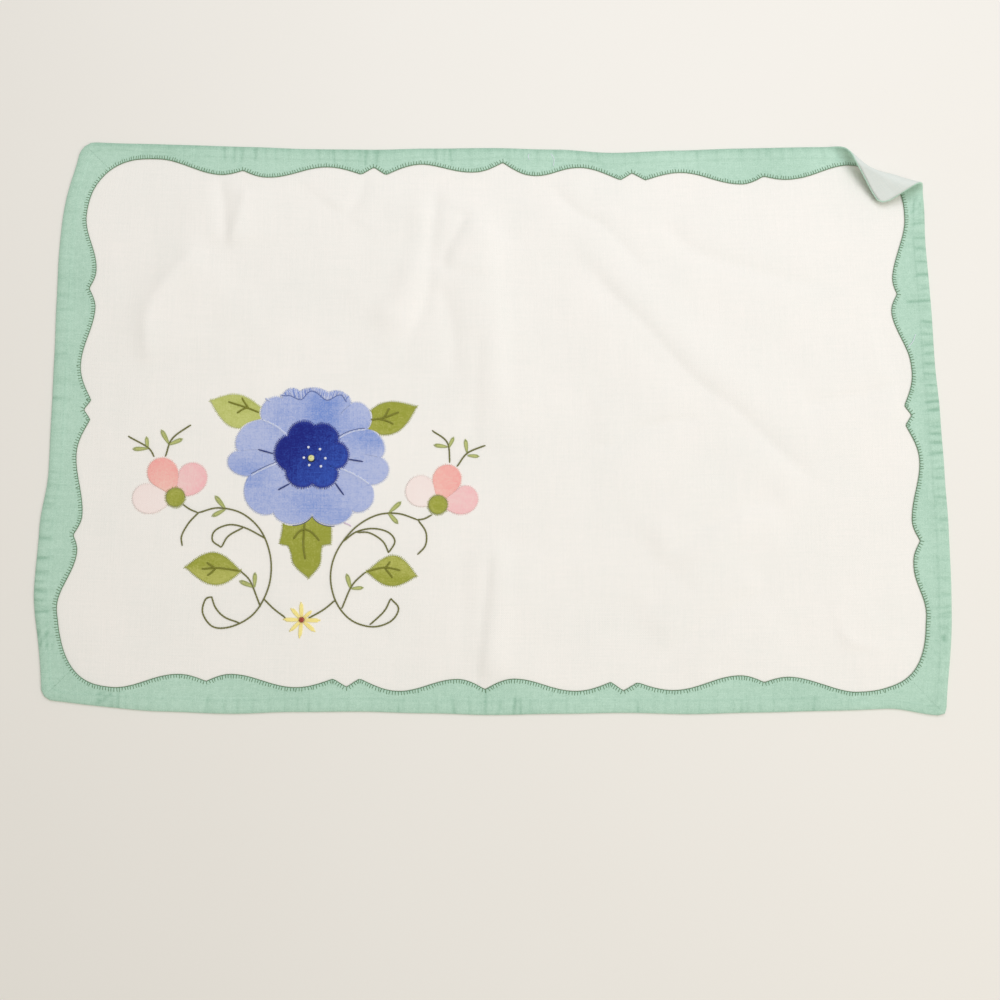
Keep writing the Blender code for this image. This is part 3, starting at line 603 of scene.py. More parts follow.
def strands(paths, radii):
    """Many threads at once: a six-sided tube along each flat path (u, v, h), with closed ends.

    Around the path the ring lies in the plane of the level sideways vector and the one square to both.
    The returned places run once around the thread and, in millimetres, along it.
    """
    count, rings = paths.shape[:2]
    sides = STRAND_SIDES
    forward = np.gradient(paths, axis=1)
    forward /= np.linalg.norm(forward, axis=2, keepdims=True)
    side = np.cross(forward, (0.0, 0.0, 1.0))
    side /= np.linalg.norm(side, axis=2, keepdims=True)
    up = np.cross(side, forward)
    turn = np.arange(sides) * 2 * math.pi / sides
    around = np.cos(turn)[:, None] * side[:, :, None] + np.sin(turn)[:, None] * up[:, :, None]
    points = paths[:, :, None] + radii[:, :, None, None] * around
    first = np.arange(count)[:, None, None] * rings * sides
    ring = np.arange(rings - 1)[None, :, None] * sides
    k = np.arange(sides)[None, None, :]
    following = (k + 1) % sides
    a, b = first + ring + k, first + ring + following
    tube = np.stack([a, b, b + sides, a + sides], axis=-1)
    near = first.reshape(-1, 1, 1) + np.array([[3, 2, 1, 0], [5, 4, 3, 0]])
    far = first.reshape(-1, 1, 1) + (rings - 1) * sides + np.array([[0, 1, 2, 3], [0, 3, 4, 5]])
    quads = np.concatenate([tube.reshape(-1, 4), near.reshape(-1, 4), far.reshape(-1, 4)])
    run = np.linalg.norm(np.diff(paths, axis=1), axis=2).cumsum(axis=1)
    run = np.concatenate([np.zeros((count, 1)), run], axis=1)
    share = np.stack([k, k + 1, k + 1, k], axis=-1) / sides + np.zeros((count, rings - 1, 1, 1))
    length = np.stack([run[:, :-1], run[:, :-1], run[:, 1:], run[:, 1:]], axis=-1)[:, :, None]
    tube_places = np.stack([share, length + np.zeros((1, 1, sides, 1))], axis=-1).reshape(-1, 4, 2)
    caps = np.zeros((4 * count, 4, 2))
    return points.reshape(-1, 3), quads, np.concatenate([tube_places, caps])


def even_thread(paths, radius):
    """Threads that are as thick all along."""
    return strands(paths, np.full(paths.shape[:2], radius))


def stitches(start, end, radius, arch):
    """One short thread for each start and end: over in a low arch, thinner where it enters the cloth."""
    share = STITCH_SHARES[:, None]
    paths = start[:, None] * (1 - share) + end[:, None] * share
    paths[..., 2] += arch * np.sin(math.pi * STITCH_SHARES)
    return strands(paths, np.broadcast_to(radius * STITCH_SWELL, paths.shape[:2]))


def level_stitches(start, end, height, radius, arch):
    """Stitches whose flat starts and ends are all at one height."""
    return stitches(with_height(start, height), with_height(end, height), radius, arch)


def back_stitches(line, pitch, height, radius, arch=0.03):
    """Even stitches one after the other along a flat line."""
    line = evenly(line, pitch)
    return level_stitches(line[:-1], line[1:], height, radius, arch)


def joined(*shapes):
    """Several (points, quads, places) as one."""
    offset, points, quads, places = 0, [], [], []
    for shape_points, shape_quads, shape_places in shapes:
        points.append(shape_points)
        quads.append(shape_quads + offset)
        places.append(shape_places)
        offset += len(shape_points)
    return np.concatenate(points), np.concatenate(quads), np.concatenate(places)


def thread_piece(name, finish, slot, *shapes):
    """A piece of embroidery from threads (points, quads, places) in flat millimetres."""
    points, quads, places = joined(*shapes)
    add_piece(name, lie(points), quads, places, "twist", finish)


# ---- Outlines and curves ----


def keyed(rows, distance):
    """The width at each distance, from rows of distance and width, some of them sharp.

    The width eases level into a plain row and runs straight or steeply into a sharp one.
    """
    at = np.array([row[0] for row in rows])
    width = np.array([row[1] for row in rows])
    sharp = np.array(["sharp" in row for row in rows])
    distance = np.clip(distance, at[0], at[-1])
    i = np.clip(np.searchsorted(at, distance, side="right") - 1, 0, len(rows) - 2)
    s = (distance - at[i]) / (at[i + 1] - at[i])
    from_sharp = np.where(sharp[i + 1], s, np.sin(math.pi * s / 2))
    from_plain = np.where(sharp[i + 1], 1 - np.cos(math.pi * s / 2), raised(s))
    return width[i] + (width[i + 1] - width[i]) * np.where(sharp[i], from_sharp, from_plain)


def stations(rows, step):
    """Distances from the first row to the last, every row among them and none further apart than the step."""
    marks = [np.array([rows[0][0]])]
    for before, after in zip(rows, rows[1:]):
        count = max(1, math.ceil((after[0] - before[0]) / step))
        marks.append(np.linspace(before[0], after[0], count + 1)[1:])
    return np.concatenate(marks)


def scalloped_edge():
    """The border's inner edge, anticlockwise: four scalloped sides and squarish quarter ellipses."""
    sides = []
    for side, (rows, middle) in SIDES.items():
        half = stations(rows, BAND_STEP)
        distance = np.concatenate([-half[:0:-1], half])
        along = middle + distance
        inward = keyed(rows, np.abs(distance)) + waved(SEWN_WIDER[side], side, along)
        sides.append(
            {
                "bottom": np.stack([along, inward - HALF_V], axis=1),
                "right": np.stack([HALF_U - inward, along], axis=1),
                "top": np.stack([along, HALF_V - inward], axis=1)[::-1],
                "left": np.stack([inward - HALF_U, along], axis=1)[::-1],
            }[side]
        )
    angles = (1 - np.cos(np.linspace(0, math.pi, 2 * MITRE_STEPS + 1))) * math.pi / 4
    ahead, behind = np.sin(angles) ** (2 / CORNER_SQUARENESS), np.cos(angles) ** (2 / CORNER_SQUARENESS)
    arcs = []
    for k in range(4):
        start, end = sides[k][-1], sides[(k + 1) % 4][0]
        middle = np.array([start[0], end[1]]) if k % 2 == 0 else np.array([end[0], start[1]])
        arcs.append(middle + np.outer(behind, start - middle) + np.outer(ahead, end - middle))
    return sides, arcs


def narrow_ended(line):
    """The line with one more point close to each end, so that the piece's turned-down ends stay narrow."""
    near = line[:1] * (1 - END_STEP) + line[1:2] * END_STEP
    far = line[-1:] * (1 - END_STEP) + line[-2:-1] * END_STEP
    return np.concatenate([line[:1], near, line[1:-1], far, line[-1:]])


def band_edges(k):
    """Matching points of border strip k, along the cloth's edge and along the scallop, mitre to mitre."""
    sides, arcs = scalloped_edge()
    before, after = arcs[(k + 3) % 4][MITRE_STEPS:-1], arcs[k][1 : MITRE_STEPS + 1]
    inner = np.concatenate([before, sides[k], after])
    along_axis = k % 2
    half = (HALF_U, HALF_V)[along_axis]
    along = inner[:, along_axis].copy()
    toward = 1 if k in (0, 1) else -1
    first_radius, last_radius = CORNER_RADII[(k + 3) % 4], CORNER_RADII[k]
    steps = np.arange(1, MITRE_STEPS + 1) / MITRE_STEPS
    last_corner = toward * (half - last_radius * (1 - math.sqrt(0.5)))
    along[-MITRE_STEPS:] = sides[k][-1][along_axis] * (1 - steps) + last_corner * steps
    first_corner = -toward * (half - first_radius * (1 - math.sqrt(0.5)))
    along[:MITRE_STEPS] = (sides[k][0][along_axis] * (1 - steps) + first_corner * steps)[::-1]
    radius = np.where(along * toward > 0, last_radius, first_radius)
    beyond = np.clip(np.abs(along) - (half - radius), 0, radius)
    inward = radius - np.sqrt(radius**2 - beyond**2)
    other = (-1, 1, 1, -1)[k] * ((HALF_V, HALF_U)[along_axis] - inward)
    outer = np.stack([along, other] if along_axis == 0 else [other, along], axis=1)
    for line in (outer, inner):
        line[0, along_axis] += toward * MITRE_GAP / 2
        line[-1, along_axis] -= toward * MITRE_GAP / 2
    return narrow_ended(outer), narrow_ended(inner)


def eased(count):
    """Shares from 0 to 1, close together at both ends."""
    return (1 - np.cos(np.linspace(0, math.pi, count + 1))) / 2


def lobe_radius(lobes, degrees):
    """The rim's radius at an angle: each lobe swells from a straight run between its two notches."""
    radius = np.zeros(np.shape(degrees))
    for start, end, low, high, reach in lobes:
        s = np.clip((degrees - start) / (end - start), 0, 1)
        swell = (reach - (low + high) / 2) * np.sin(math.pi * s) ** LOBE_ROUNDNESS
        inside = (degrees >= start - 1e-6) & (degrees <= end + 1e-6)
        radius = np.where(inside, low + (high - low) * s + swell, radius)
    return radius


def lobe_angles(lobes, step):
    """Angles along a lobed rim, closer at the notches where the lobes are steep."""
    angles = [np.array([lobes[0][0]])]
    for start, end, _, _, reach in lobes:
        count = max(6, round(math.radians(end - start) * reach / step))
        angles.append(start + (end - start) * eased(count)[1:])
    return np.concatenate(angles)


def polar(middle, radius, degrees):
    """Flat places at a radius and an angle from a middle."""
    turn = np.radians(degrees)
    return np.stack([middle[0] + radius * np.cos(turn), middle[1] + radius * np.sin(turn)], axis=-1)


def flower_rim(places):
    """Each place's distance from the flower's middle and the petals' rim at its angle."""
    offset = places - np.array(FLOWER)
    lobes = [lobe for petal in PETALS.values() for lobe in petal]
    first = lobes[0][0]
    degrees = (np.degrees(np.arctan2(offset[..., 1], offset[..., 0])) - first) % 360 + first
    return np.hypot(offset[..., 0], offset[..., 1]), lobe_radius(lobes, degrees)


def smooth_curve(points, step):
    """A Catmull-Rom curve through given points, read off at even distances of about one step."""
    p = np.array(points, float)
    p = np.concatenate([2 * p[:1] - p[1:2], p, 2 * p[-1:] - p[-2:-1]])
    t = np.linspace(0, 1, 25)[:-1, None]
    spans = []
    for a, b, c, d in zip(p, p[1:], p[2:], p[3:]):
        square, cube = a - 2.5 * b + 2 * c - d / 2, 1.5 * (b - c) + (d - a) / 2
        spans.append(b + (c - a) * t / 2 + square * t**2 + cube * t**3)
    return evenly(np.concatenate([*spans, p[-2:-1]]), step)


def run_along(line):
    """The distance along a polyline at each of its points."""
    return np.concatenate([[0], np.hypot(*np.diff(line, axis=0).T).cumsum()])


def evenly(curve, step):
    """A polyline read off at even distances of about one step, both its ends kept."""
    run = run_along(curve)
    marks = np.linspace(0, run[-1], max(2, round(run[-1] / step) + 1))
    return np.stack([np.interp(marks, run, curve[:, 0]), np.interp(marks, run, curve[:, 1])], axis=1)


def ways(line, span=1):
    """Unit headings along a polyline, taken over a few of its points, and the unit vectors to their right."""
    ahead = np.concatenate([line[span:], np.repeat(line[-1:], span, axis=0)])
    behind = np.concatenate([np.repeat(line[:1], span, axis=0), line[:-span]])
    heading = ahead - behind
    heading /= np.hypot(heading[:, 0], heading[:, 1])[:, None]
    return heading, np.stack([heading[:, 1], -heading[:, 0]], axis=1)


# ---- Finishes ----


def paint(red, green, blue):
    """A colour from its 0 to 255 screen values, as the linear colour that the shader takes."""
    screen = np.array([red, green, blue]) / 255
    linear = np.where(screen <= 0.04045, screen / 12.92, ((screen + 0.055) / 1.055) ** 2.4)
    return (*linear.tolist(), 1.0)


def node(tree, kind, inputs=None, **settings):
    """A new node with its settings, each of its inputs linked to a socket or set to a value."""
    made = tree.nodes.new(kind)
    for key, value in settings.items():
        setattr(made, key, value)
    for key, value in (inputs or {}).items():
        if isinstance(value, bpy.types.NodeSocket):
            tree.links.new(value, made.inputs[key])
        else:
            made.inputs[key].default_value = value
    return made


def maths(tree, operation, first, second=0.0, clamp=False):
    """The result of a maths node on two numbers or sockets."""
    numbers = {0: first, 1: second}
    return node(tree, "ShaderNodeMath", numbers, operation=operation, use_clamp=clamp).outputs[0]


def arithmetic(tree):
    """The three maths nodes that the effects use most: add, subtract and multiply."""
    return (partial(maths, tree, operation) for operation in ("ADD", "SUBTRACT", "MULTIPLY"))


def mixed(tree, share, first, second):
    """The result of a colour mix."""
    return node(tree, "ShaderNodeMix", {"Factor": share, 6: first, 7: second}, data_type="RGBA").outputs[2]


def noise(tree, place, scale, detail, stretch=(1, 1, 1)):
    """Smooth noise between about 0 and 1, stretched along an axis where its stretch is small."""
    mapped = node(tree, "ShaderNodeMapping", {"Vector": place, "Scale": stretch}).outputs[0]
    return node(tree, "ShaderNodeTexNoise", {"Vector": mapped, "Scale": scale, "Detail": detail}).outputs[0]


EFFECT_OUTPUTS = {"Colour": "NodeSocketColor", "Roughness": "NodeSocketFloat", "Height": "NodeSocketFloat"}


def shader_group(name, inputs):
    """A node group with named inputs (name, kind, value) and with a colour, a roughness and a height."""
    tree = bpy.data.node_groups.new(name, "ShaderNodeTree")
    for label, kind, value in inputs:
        socket = tree.interface.new_socket(label, in_out="INPUT", socket_type=kind)
        if value is not None:
            socket.default_value = value
    for label, kind in EFFECT_OUTPUTS.items():
        tree.interface.new_socket(label, in_out="OUTPUT", socket_type=kind)
    return tree, tree.nodes.new("NodeGroupInput").outputs, tree.nodes.new("NodeGroupOutput").inputs


WOVEN_NUMBERS = {"Depth": 0.4, "Streaks": 0.3, "Mottled": 0.5, "Threads per metre": 2300.0, "Worn": 0.1}


def woven_cloth_group():
    """Plain-woven cloth: crossing threads of uneven thickness, streaks of stronger colour and a little wear.

    The place is in metres on the flat cloth. The weave's height is the product of two sine waves, bent a
    little by noise; the colour is made a little lighter and darker with that height, as painted light and
    shade. Slubs are noise stretched along each thread's way.
    """
    tree, given, out = shader_group(
        "woven cloth",
        (
            ("Place", "NodeSocketVector", None),
            ("Colour", "NodeSocketColor", (0.8, 0.8, 0.8, 1)),
            ("Deep colour", "NodeSocketColor", (0.6, 0.6, 0.6, 1)),
            *((label, "NodeSocketFloat", value) for label, value in WOVEN_NUMBERS.items()),
        ),
    )
    add, subtract, multiply = arithmetic(tree)
    place = given["Place"]
    upright = noise(tree, place, 1.0, 3.0, (1500, 45, 1))
    level = noise(tree, place, 1.0, 3.0, (45, 1500, 1))
    broad = noise(tree, place, 26.0, 4.0)
    bend = noise(tree, place, 420.0, 2.0)
    speckle = noise(tree, place, 1500.0, 2.0)
    parts = node(tree, "ShaderNodeSeparateXYZ", {0: place}).outputs
    turns = multiply(given["Threads per metre"], math.pi)
    waves = [maths(tree, "SINE", add(multiply(parts[axis], turns), multiply(bend, 2.4))) for axis in (0, 1)]
    cell = multiply(*waves)
    slubs = subtract(add(upright, level), 1.0)
    uneven = multiply(slubs, given["Streaks"])
    patchy = multiply(subtract(broad, 0.5), given["Worn"])
    mottle = multiply(subtract(add(speckle, multiply(bend, 0.5)), 0.75), given["Mottled"])
    share = add(add(given["Depth"], uneven), add(patchy, mottle), clamp=True)
    # Painted light and shade: the colour's value rises and falls with the weave's height
    weave_painted_shade = add(multiply(cell, 0.035), 0.985)
    colour = mixed(tree, share, given["Colour"], given["Deep colour"])
    tinted = node(tree, "ShaderNodeHueSaturation", {"Color": colour, "Value": weave_painted_shade}).outputs[0]
    tree.links.new(tinted, out["Colour"])
    tree.links.new(add(multiply(subtract(broad, 0.5), 0.25), 0.88, clamp=True), out["Roughness"])
    tree.links.new(add(multiply(cell, 0.3), multiply(slubs, 1.2)), out["Height"])
    return tree


def twisted_thread_group():
    """Embroidery thread: plies that wind round it, painted shade in the groove between them, uneven dye along
    its length.

    The place is the share around the thread and the millimetres along it.
    """
    tree, given, out = shader_group(
        "twisted thread",
        (
            ("Place", "NodeSocketVector", None),
            ("Colour", "NodeSocketColor", (0.5, 0.5, 0.5, 1)),
            ("Groove shade and dye colour", "NodeSocketColor", (0.2, 0.2, 0.2, 1)),
            ("Turns per millimetre", "NodeSocketFloat", 1.1),
        ),
    )
    add, subtract, multiply = arithmetic(tree)
    parts = node(tree, "ShaderNodeSeparateXYZ", {0: given["Place"]}).outputs
    winding = add(parts[0], multiply(parts[1], given["Turns per millimetre"]))
    ply = maths(tree, "ABSOLUTE", maths(tree, "SINE", multiply(winding, 2 * math.pi)))
    dye = noise(tree, node(tree, "ShaderNodeTexCoord").outputs["Object"], 260.0, 3.0)
    # Painted shade: the colour darkens towards the groove colour between the plies
    groove_shade = multiply(subtract(1.0, ply), 0.55)
    share = add(groove_shade, multiply(subtract(dye, 0.5), 0.6), clamp=True)
    tree.links.new(mixed(tree, share, given["Colour"], given["Groove shade and dye colour"]), out["Colour"])
    tree.links.new(add(multiply(dye, 0.3), 0.42, clamp=True), out["Roughness"])
    tree.links.new(ply, out["Height"])
    return tree


def shaded(name, sheen, sheen_roughness, specular):
    """A new material and its shader, with the values that are the same all over it."""
    made = bpy.data.materials.new(name)
    made.use_nodes = True
    shader = made.node_tree.nodes["Principled BSDF"]
    shader.inputs["Metallic"].default_value = 0.0
    shader.inputs["Sheen Weight"].default_value = sheen
    shader.inputs["Sheen Roughness"].default_value = sheen_roughness
    shader.inputs["Specular IOR Level"].default_value = specular
    return made, made.node_tree, shader


def finish_with(tree, shader, effect, distance, strength):
    """Wires an effect's colour and roughness to the shader, and its height as bumps."""
    tree.links.new(effect["Colour"], shader.inputs["Base Color"])
    tree.links.new(effect["Roughness"], shader.inputs["Roughness"])
    given = {"Height": effect["Height"], "Distance": distance, "Strength": strength}
    tree.links.new(node(tree, "ShaderNodeBump", given).outputs[0], shader.inputs["Normal"])


def cloth_finish(name, colour, deep, streaks, worn, mottled):
    """Woven cloth on its own weave map. The piece's tone attribute deepens the colour."""
    made, tree, shader = shaded(name, 0.15, 0.55, 0.25)
    given = {
        "Place": node(tree, "ShaderNodeUVMap", uv_map="weave").outputs[0],
        "Depth": node(tree, "ShaderNodeAttribute", attribute_name="tone").outputs["Fac"],
        "Colour": paint(*colour),
        "Deep colour": paint(*deep),
        "Streaks": streaks,
        "Worn": worn,
        "Mottled": mottled,
    }
    effect = node(tree, "ShaderNodeGroup", given, node_tree=WOVEN).outputs
    finish_with(tree, shader, effect, 0.00012, 0.55)
    return made


def thread_finish(name, colour, groove_shade):
    """Twisted thread on its own map around and along the thread."""
    made, tree, shader = shaded(name, 0.2, 0.4, 0.4)
    given = {
        "Place": node(tree, "ShaderNodeUVMap", uv_map="twist").outputs[0],
        "Colour": paint(*colour),
        "Groove shade and dye colour": paint(*groove_shade),
    }
    effect = node(tree, "ShaderNodeGroup", given, node_tree=TWISTED).outputs
    finish_with(tree, shader, effect, 0.00008, 0.6)
    return made


WOVEN = woven_cloth_group()
TWISTED = twisted_thread_group()

# Cloths: colour, deeper colour, how streaked, how worn and how mottled
CLOTHS = {
    "ground cloth": ((254, 249, 244), (210, 222, 218), 0.2, 0.2, 0.2),
    "mint cloth": ((196, 228, 210), (150, 190, 168), 0.35, 0.5, 1.0),
    "petal cloth": ((184, 194, 230), (112, 142, 212), 0.5, 0.4, 1.3),
    "centre cloth": ((16, 28, 126), (52, 88, 186), 0.45, 0.4, 1.6),
    "leaf cloth": ((190, 192, 104), (154, 160, 58), 0.35, 0.8, 1.9),
    "pale leaf cloth": ((202, 208, 128), (176, 184, 92), 0.4, 0.8, 1.8),
    "coral cloth": ((247, 202, 190), (247, 166, 162), 0.3, 1.2, 1.4),
    "pink cloth": ((245, 212, 208), (247, 184, 190), 0.3, 1.2, 1.4),
    "pale pink cloth": ((249, 238, 234), (247, 230, 226), 0.3, 0.8, 1.0),
}
# Threads: colour, and the colour of the painted shade in the grooves between the plies, which deeper dye also
# reaches
THREADS = {
    "border thread": ((108, 144, 104), (74, 106, 74)),
    "mint thread": ((166, 204, 180), (130, 172, 146)),
    "lilac thread": ((206, 214, 242), (160, 176, 222)),
    "white thread": ((240, 244, 252), (204, 214, 240)),
    "petal blue thread": ((138, 160, 220), (98, 124, 200)),
    "dusty blue thread": ((104, 124, 184), (78, 98, 158)),
    "dark blue thread": ((44, 62, 132), (26, 38, 92)),
    "deep blue thread": ((34, 54, 164), (20, 36, 134)),
    "leaf thread": ((170, 176, 82), (128, 136, 46)),
    "pale leaf thread": ((204, 210, 136), (166, 174, 92)),
    "vein thread": ((132, 134, 36), (100, 102, 16)),
    "stem thread": ((118, 118, 60), (80, 81, 36)),
    "sprig thread": ((176, 184, 120), (134, 144, 80)),
    "coral thread": ((250, 206, 196), (242, 178, 168)),
    "pink thread": ((248, 212, 210), (240, 192, 192)),
    "pale pink thread": ((246, 232, 228), (236, 214, 208)),
    "yellow thread": ((255, 242, 160), (248, 226, 122)),
    "rust thread": ((176, 72, 58), (130, 40, 34)),
    "pale knot thread": ((240, 244, 255), (214, 224, 252)),
    "knot shadow thread": ((26, 32, 66), (14, 18, 44)),
    "mauve thread": ((224, 206, 226), (200, 180, 208)),
    "cream yellow thread": ((238, 238, 170), (210, 210, 124)),
}
FINISHES = {name: cloth_finish(name, *look) for name, look in CLOTHS.items()}
FINISHES |= {name: thread_finish(name, *look) for name, look in THREADS.items()}

# ---- The ground cloth and its border ----

GROUND_INSET = 0.3
GROUND_CELL = 1.85
FINE_CELL = 0.95
FINE_FROM_U = 150.0
FINE_FROM_V = 100.0
# How deep the ground cloth's colour is on its face, and how much deeper on its back, which the turned corner
# shows
FACE_TONE = 0.2
BACK_TONE = 0.75
# How deep the border's colour is, and how much painted shade deepens it in the hem's furrows, in its pleats
# and along the hem's end
BAND_TONE = 0.3
FURROW_PAINTED_SHADE = 0.35
PLEAT_PAINTED_SHADE = 0.75
HEM_LINE_PAINTED_SHADE = 0.12
# How wide the rolled edge's painted shade is, how much painted light pales the border near the turned corner
# and how far from it
ROLL_WIDTH = 1.9
PAINTED_LIGHT_AT_TURN = 0.35
PAINTED_LIGHT_REACH = 20.0
# The section's rows that lie under the cloth's edge
WRAPPED_ROWS = 3


def cell_lines(half, fine_from):
    """Grid lines across the cloth, closer together towards the turned corner."""
    coarse = np.linspace(-half, fine_from, round((fine_from + half) / GROUND_CELL) + 1)
    fine = np.linspace(fine_from, half, round((half - fine_from) / FINE_CELL) + 1)
    return np.concatenate([coarse, fine[1:]])


def rounded(u, v):
    """A rectangular grid with its corners rounded: each corner square is squeezed into a quarter disc."""
    lower_right, upper_right, upper_left, lower_left = CORNER_RADII
    right_side, left_side = np.where(v > 0, upper_right, lower_right), np.where(v > 0, upper_left, lower_left)
    radius = np.where(u > 0, right_side, left_side)
    a = np.clip((np.abs(u) - (HALF_U - radius)) / (radius - GROUND_INSET), 0, 1)
    b = np.clip((np.abs(v) - (HALF_V - radius)) / (radius - GROUND_INSET), 0, 1)
    shrink_a, shrink_b = a * (1 - np.sqrt(1 - b**2 / 2)), b * (1 - np.sqrt(1 - a**2 / 2))
    return u - np.sign(u) * shrink_a * radius, v - np.sign(v) * shrink_b * radius


def make_ground():
    """The ground cloth, out to the border's wrapped edge. It is made last."""
    lines_u = cell_lines(HALF_U - GROUND_INSET, FINE_FROM_U)
    lines_v = cell_lines(HALF_V - GROUND_INSET, FINE_FROM_V)
    u, v = np.meshgrid(lines_u, lines_v, indexing="ij")
    flat = np.stack(rounded(u, v), axis=-1)
    upper, lower = with_height(flat, GROUND_TOP), with_height(flat, GROUND_LOW)
    tone = np.stack([np.full(u.shape, FACE_TONE), np.full(u.shape, BACK_TONE)])
    sheet_piece("ground_cloth", upper, lower, "ground cloth", "ground", tone)


def make_band(k, side):
    """One border strip: a section that wraps the cloth's edge, carried along the side from mitre to mitre."""
    outer, inner = band_edges(k)
    across = inner - outer
    width = np.hypot(across[:, 0], across[:, 1])[:, None]
    across /= width
    upper, lower = [], []
    for outer_in, outer_height, inner_in, inner_height in EDGE_ROWS:
        upper.append(with_height(outer + across * outer_in, outer_height))
        lower.append(with_height(outer + across * inner_in, inner_height))
    first, last = EDGE_ROWS[-1][0], SCALLOP_ROWS[0][0]
    hem = np.minimum(HEM_DEPTH, HEM_SHARE * width)
    on_hem, beyond = hem - HEM_SLOPE - first, width - last - hem - HEM_SLOPE
    rows = [(first + on_hem * share, HEM_RISE) for share in np.linspace(0, 1, HEM_COLUMNS + 1)[1:]]
    rows += [(hem + HEM_SLOPE + beyond * share, 0.0) for share in np.linspace(0, 1, BAND_COLUMNS + 1)[:-1]]
    for inward, rise in rows:
        row = outer + across * inward
        upper.append(with_height(row, TRIM_TOP + rise))
        lower.append(with_height(row, TRIM_LOW))
    for inward, height in SCALLOP_ROWS:
        upper.append(with_height(inner - across * inward, height))
        lower.append(with_height(inner - across * inward, min(TRIM_LOW, height - THINNEST)))
    upper, lower = np.stack(upper, axis=1), np.stack(lower, axis=1)
    u, v = upper[..., 0], upper[..., 1]
    pleated = pleat_share(u, v, side)
    on_face = np.clip((upper[..., 2] - PLEAT_FOOT) / PLEAT_FADE, 0, 1)
    upper[..., 2] -= PLEAT_DEPTH * pleated * on_face
    # Painted shade in the hem's furrows, in its pleats and along the hem's end, on top of the border's own
    # tone
    tone = BAND_TONE + FURROW_PAINTED_SHADE * furrow_shade(u, v) + PLEAT_PAINTED_SHADE * pleated
    tone[:, len(EDGE_ROWS) + HEM_COLUMNS - 1] += HEM_LINE_PAINTED_SHADE
    _, inward = from_side(u, v, side)
    # Painted shade along the rolled outer edge, stronger on the sides away from the light
    tone += ROLL_PAINTED_SHADES[side] * np.exp(-((inward / ROLL_WIDTH) ** 2))
    # Painted light: the border is made paler near the turned corner, where its roll lies in shade
    from_turn = np.hypot(u - TURN_POINT[0], v - TURN_POINT[1])
    tone -= PAINTED_LIGHT_AT_TURN * np.exp(-((from_turn / PAINTED_LIGHT_REACH) ** 2))
    # The rows wrapped under the edge get the palest tone: a painted highlight along the turned corner's hem
    tone[:, :WRAPPED_ROWS] = 0.0
    sheet_piece(f"border_{side}", upper, lower, "mint cloth", f"band_{side}", tone)


STITCH_PITCH = 1.33
PURL_RADIUS = 0.16
PURL_OVERLAP = 0.18
PURL_HEIGHTS = (0.82, 0.90)
LEG_RADIUS = 0.15
LEG_LENGTH = 1.85
LEG_LEAN = 0.11
LEG_SHARES = (0.82, 1.12)
BACK_DOT_LENGTH = 0.8
BACK_DOT_HEIGHT = GROUND_LOW + 0.1
MITRE_PITCH = 1.9


def blanket_stitch(line, rng):
    """Blanket stitch on a scalloped edge: a purled line along it and a leg from each stitch into the band."""
    line = evenly(line, STITCH_PITCH)
    heading, outward = ways(line)
    lean = rng.normal(0, LEG_LEAN, len(line))[:, None]
    length = LEG_LENGTH * rng.uniform(*LEG_SHARES, len(line))[:, None]
    foot = line + outward * 0.02
    tip = line + outward * length + heading * lean * length
    legs = level_stitches(foot, tip, TRIM_TOP - 0.02, LEG_RADIUS, 0.14)
    on_edge = line - outward * 0.1
    heading, _ = ways(on_edge)
    before = on_edge[:-1] - heading[:-1] * PURL_OVERLAP
    after = on_edge[1:] + heading[1:] * PURL_OVERLAP
    start, end = with_height(before, PURL_HEIGHTS[0]), with_height(after, PURL_HEIGHTS[1])
    return joined(legs, stitches(start, end, PURL_RADIUS, 0.05))


def back_dots(line):
    """What blanket stitch shows on the back of the cloth: a short bar under each leg's tip."""
    line = evenly(line, STITCH_PITCH)
    heading, outward = ways(line)
    middle = line + outward * LEG_LENGTH * 0.9
    half = heading * BACK_DOT_LENGTH / 2
    return level_stitches(middle - half, middle + half, BACK_DOT_HEIGHT, 0.2, -0.01)


def mitre_stitches(k):
    """Small slanting stitches that close the seam between strip k and the next, from the corner inwards."""
    outer, inner = band_edges(k)
    line = evenly(np.stack([outer[-1], inner[-1]]), MITRE_PITCH)[1:-1]
    heading, right = ways(line)
    start = line - right * 0.28 - heading * 0.12
    end = line + right * 0.28 + heading * 0.12
    return level_stitches(start, end, TRIM_TOP - 0.05, 0.1, 0.06)


def make_border():
    """The four strips with their blanket stitch, its back and the mitre stitches."""
    rng = np.random.default_rng(11)
    dots, mitres = [], []
    for k, side in enumerate(SIDES):
        make_band(k, side)
        _, inner = band_edges(k)
        thread_piece(f"blanket_stitch_{side}", "border thread", "border_thread", blanket_stitch(inner, rng))
        dots.append(back_dots(inner))
        mitres.append(mitre_stitches(k))
    thread_piece("blanket_stitch_back", "border thread", "border_thread", *dots)
    thread_piece("mitre_stitches", "mint thread", "border_thread", *mitres)


# ---- The flower spray's patches ----

PATCH_EDGE = 0.45
PATCH_INSET = 0.4
# A patch's thickness at its edge and how much more it has inside
PATCH_RIM = 0.1
PATCH_RISE = 0.2
# How thick a petal is at its edge, and how far from a lap the petal is raised
PETAL_RIM = 0.14
LAP_REACH = 2.2
# Cells across the patches' grids, steps along their rims and along the line that the rim stitches follow
PATCH_CELLS = 30
CENTRE_CELLS = 44
CALYX_CELLS = 20
BUD_CELLS = 22
PATCH_STEP = 0.9
BUD_STEP = 0.8
RIM_STEP = 0.4
# How far a bud petal reaches under its calyx
BUD_TUCK = 0.2

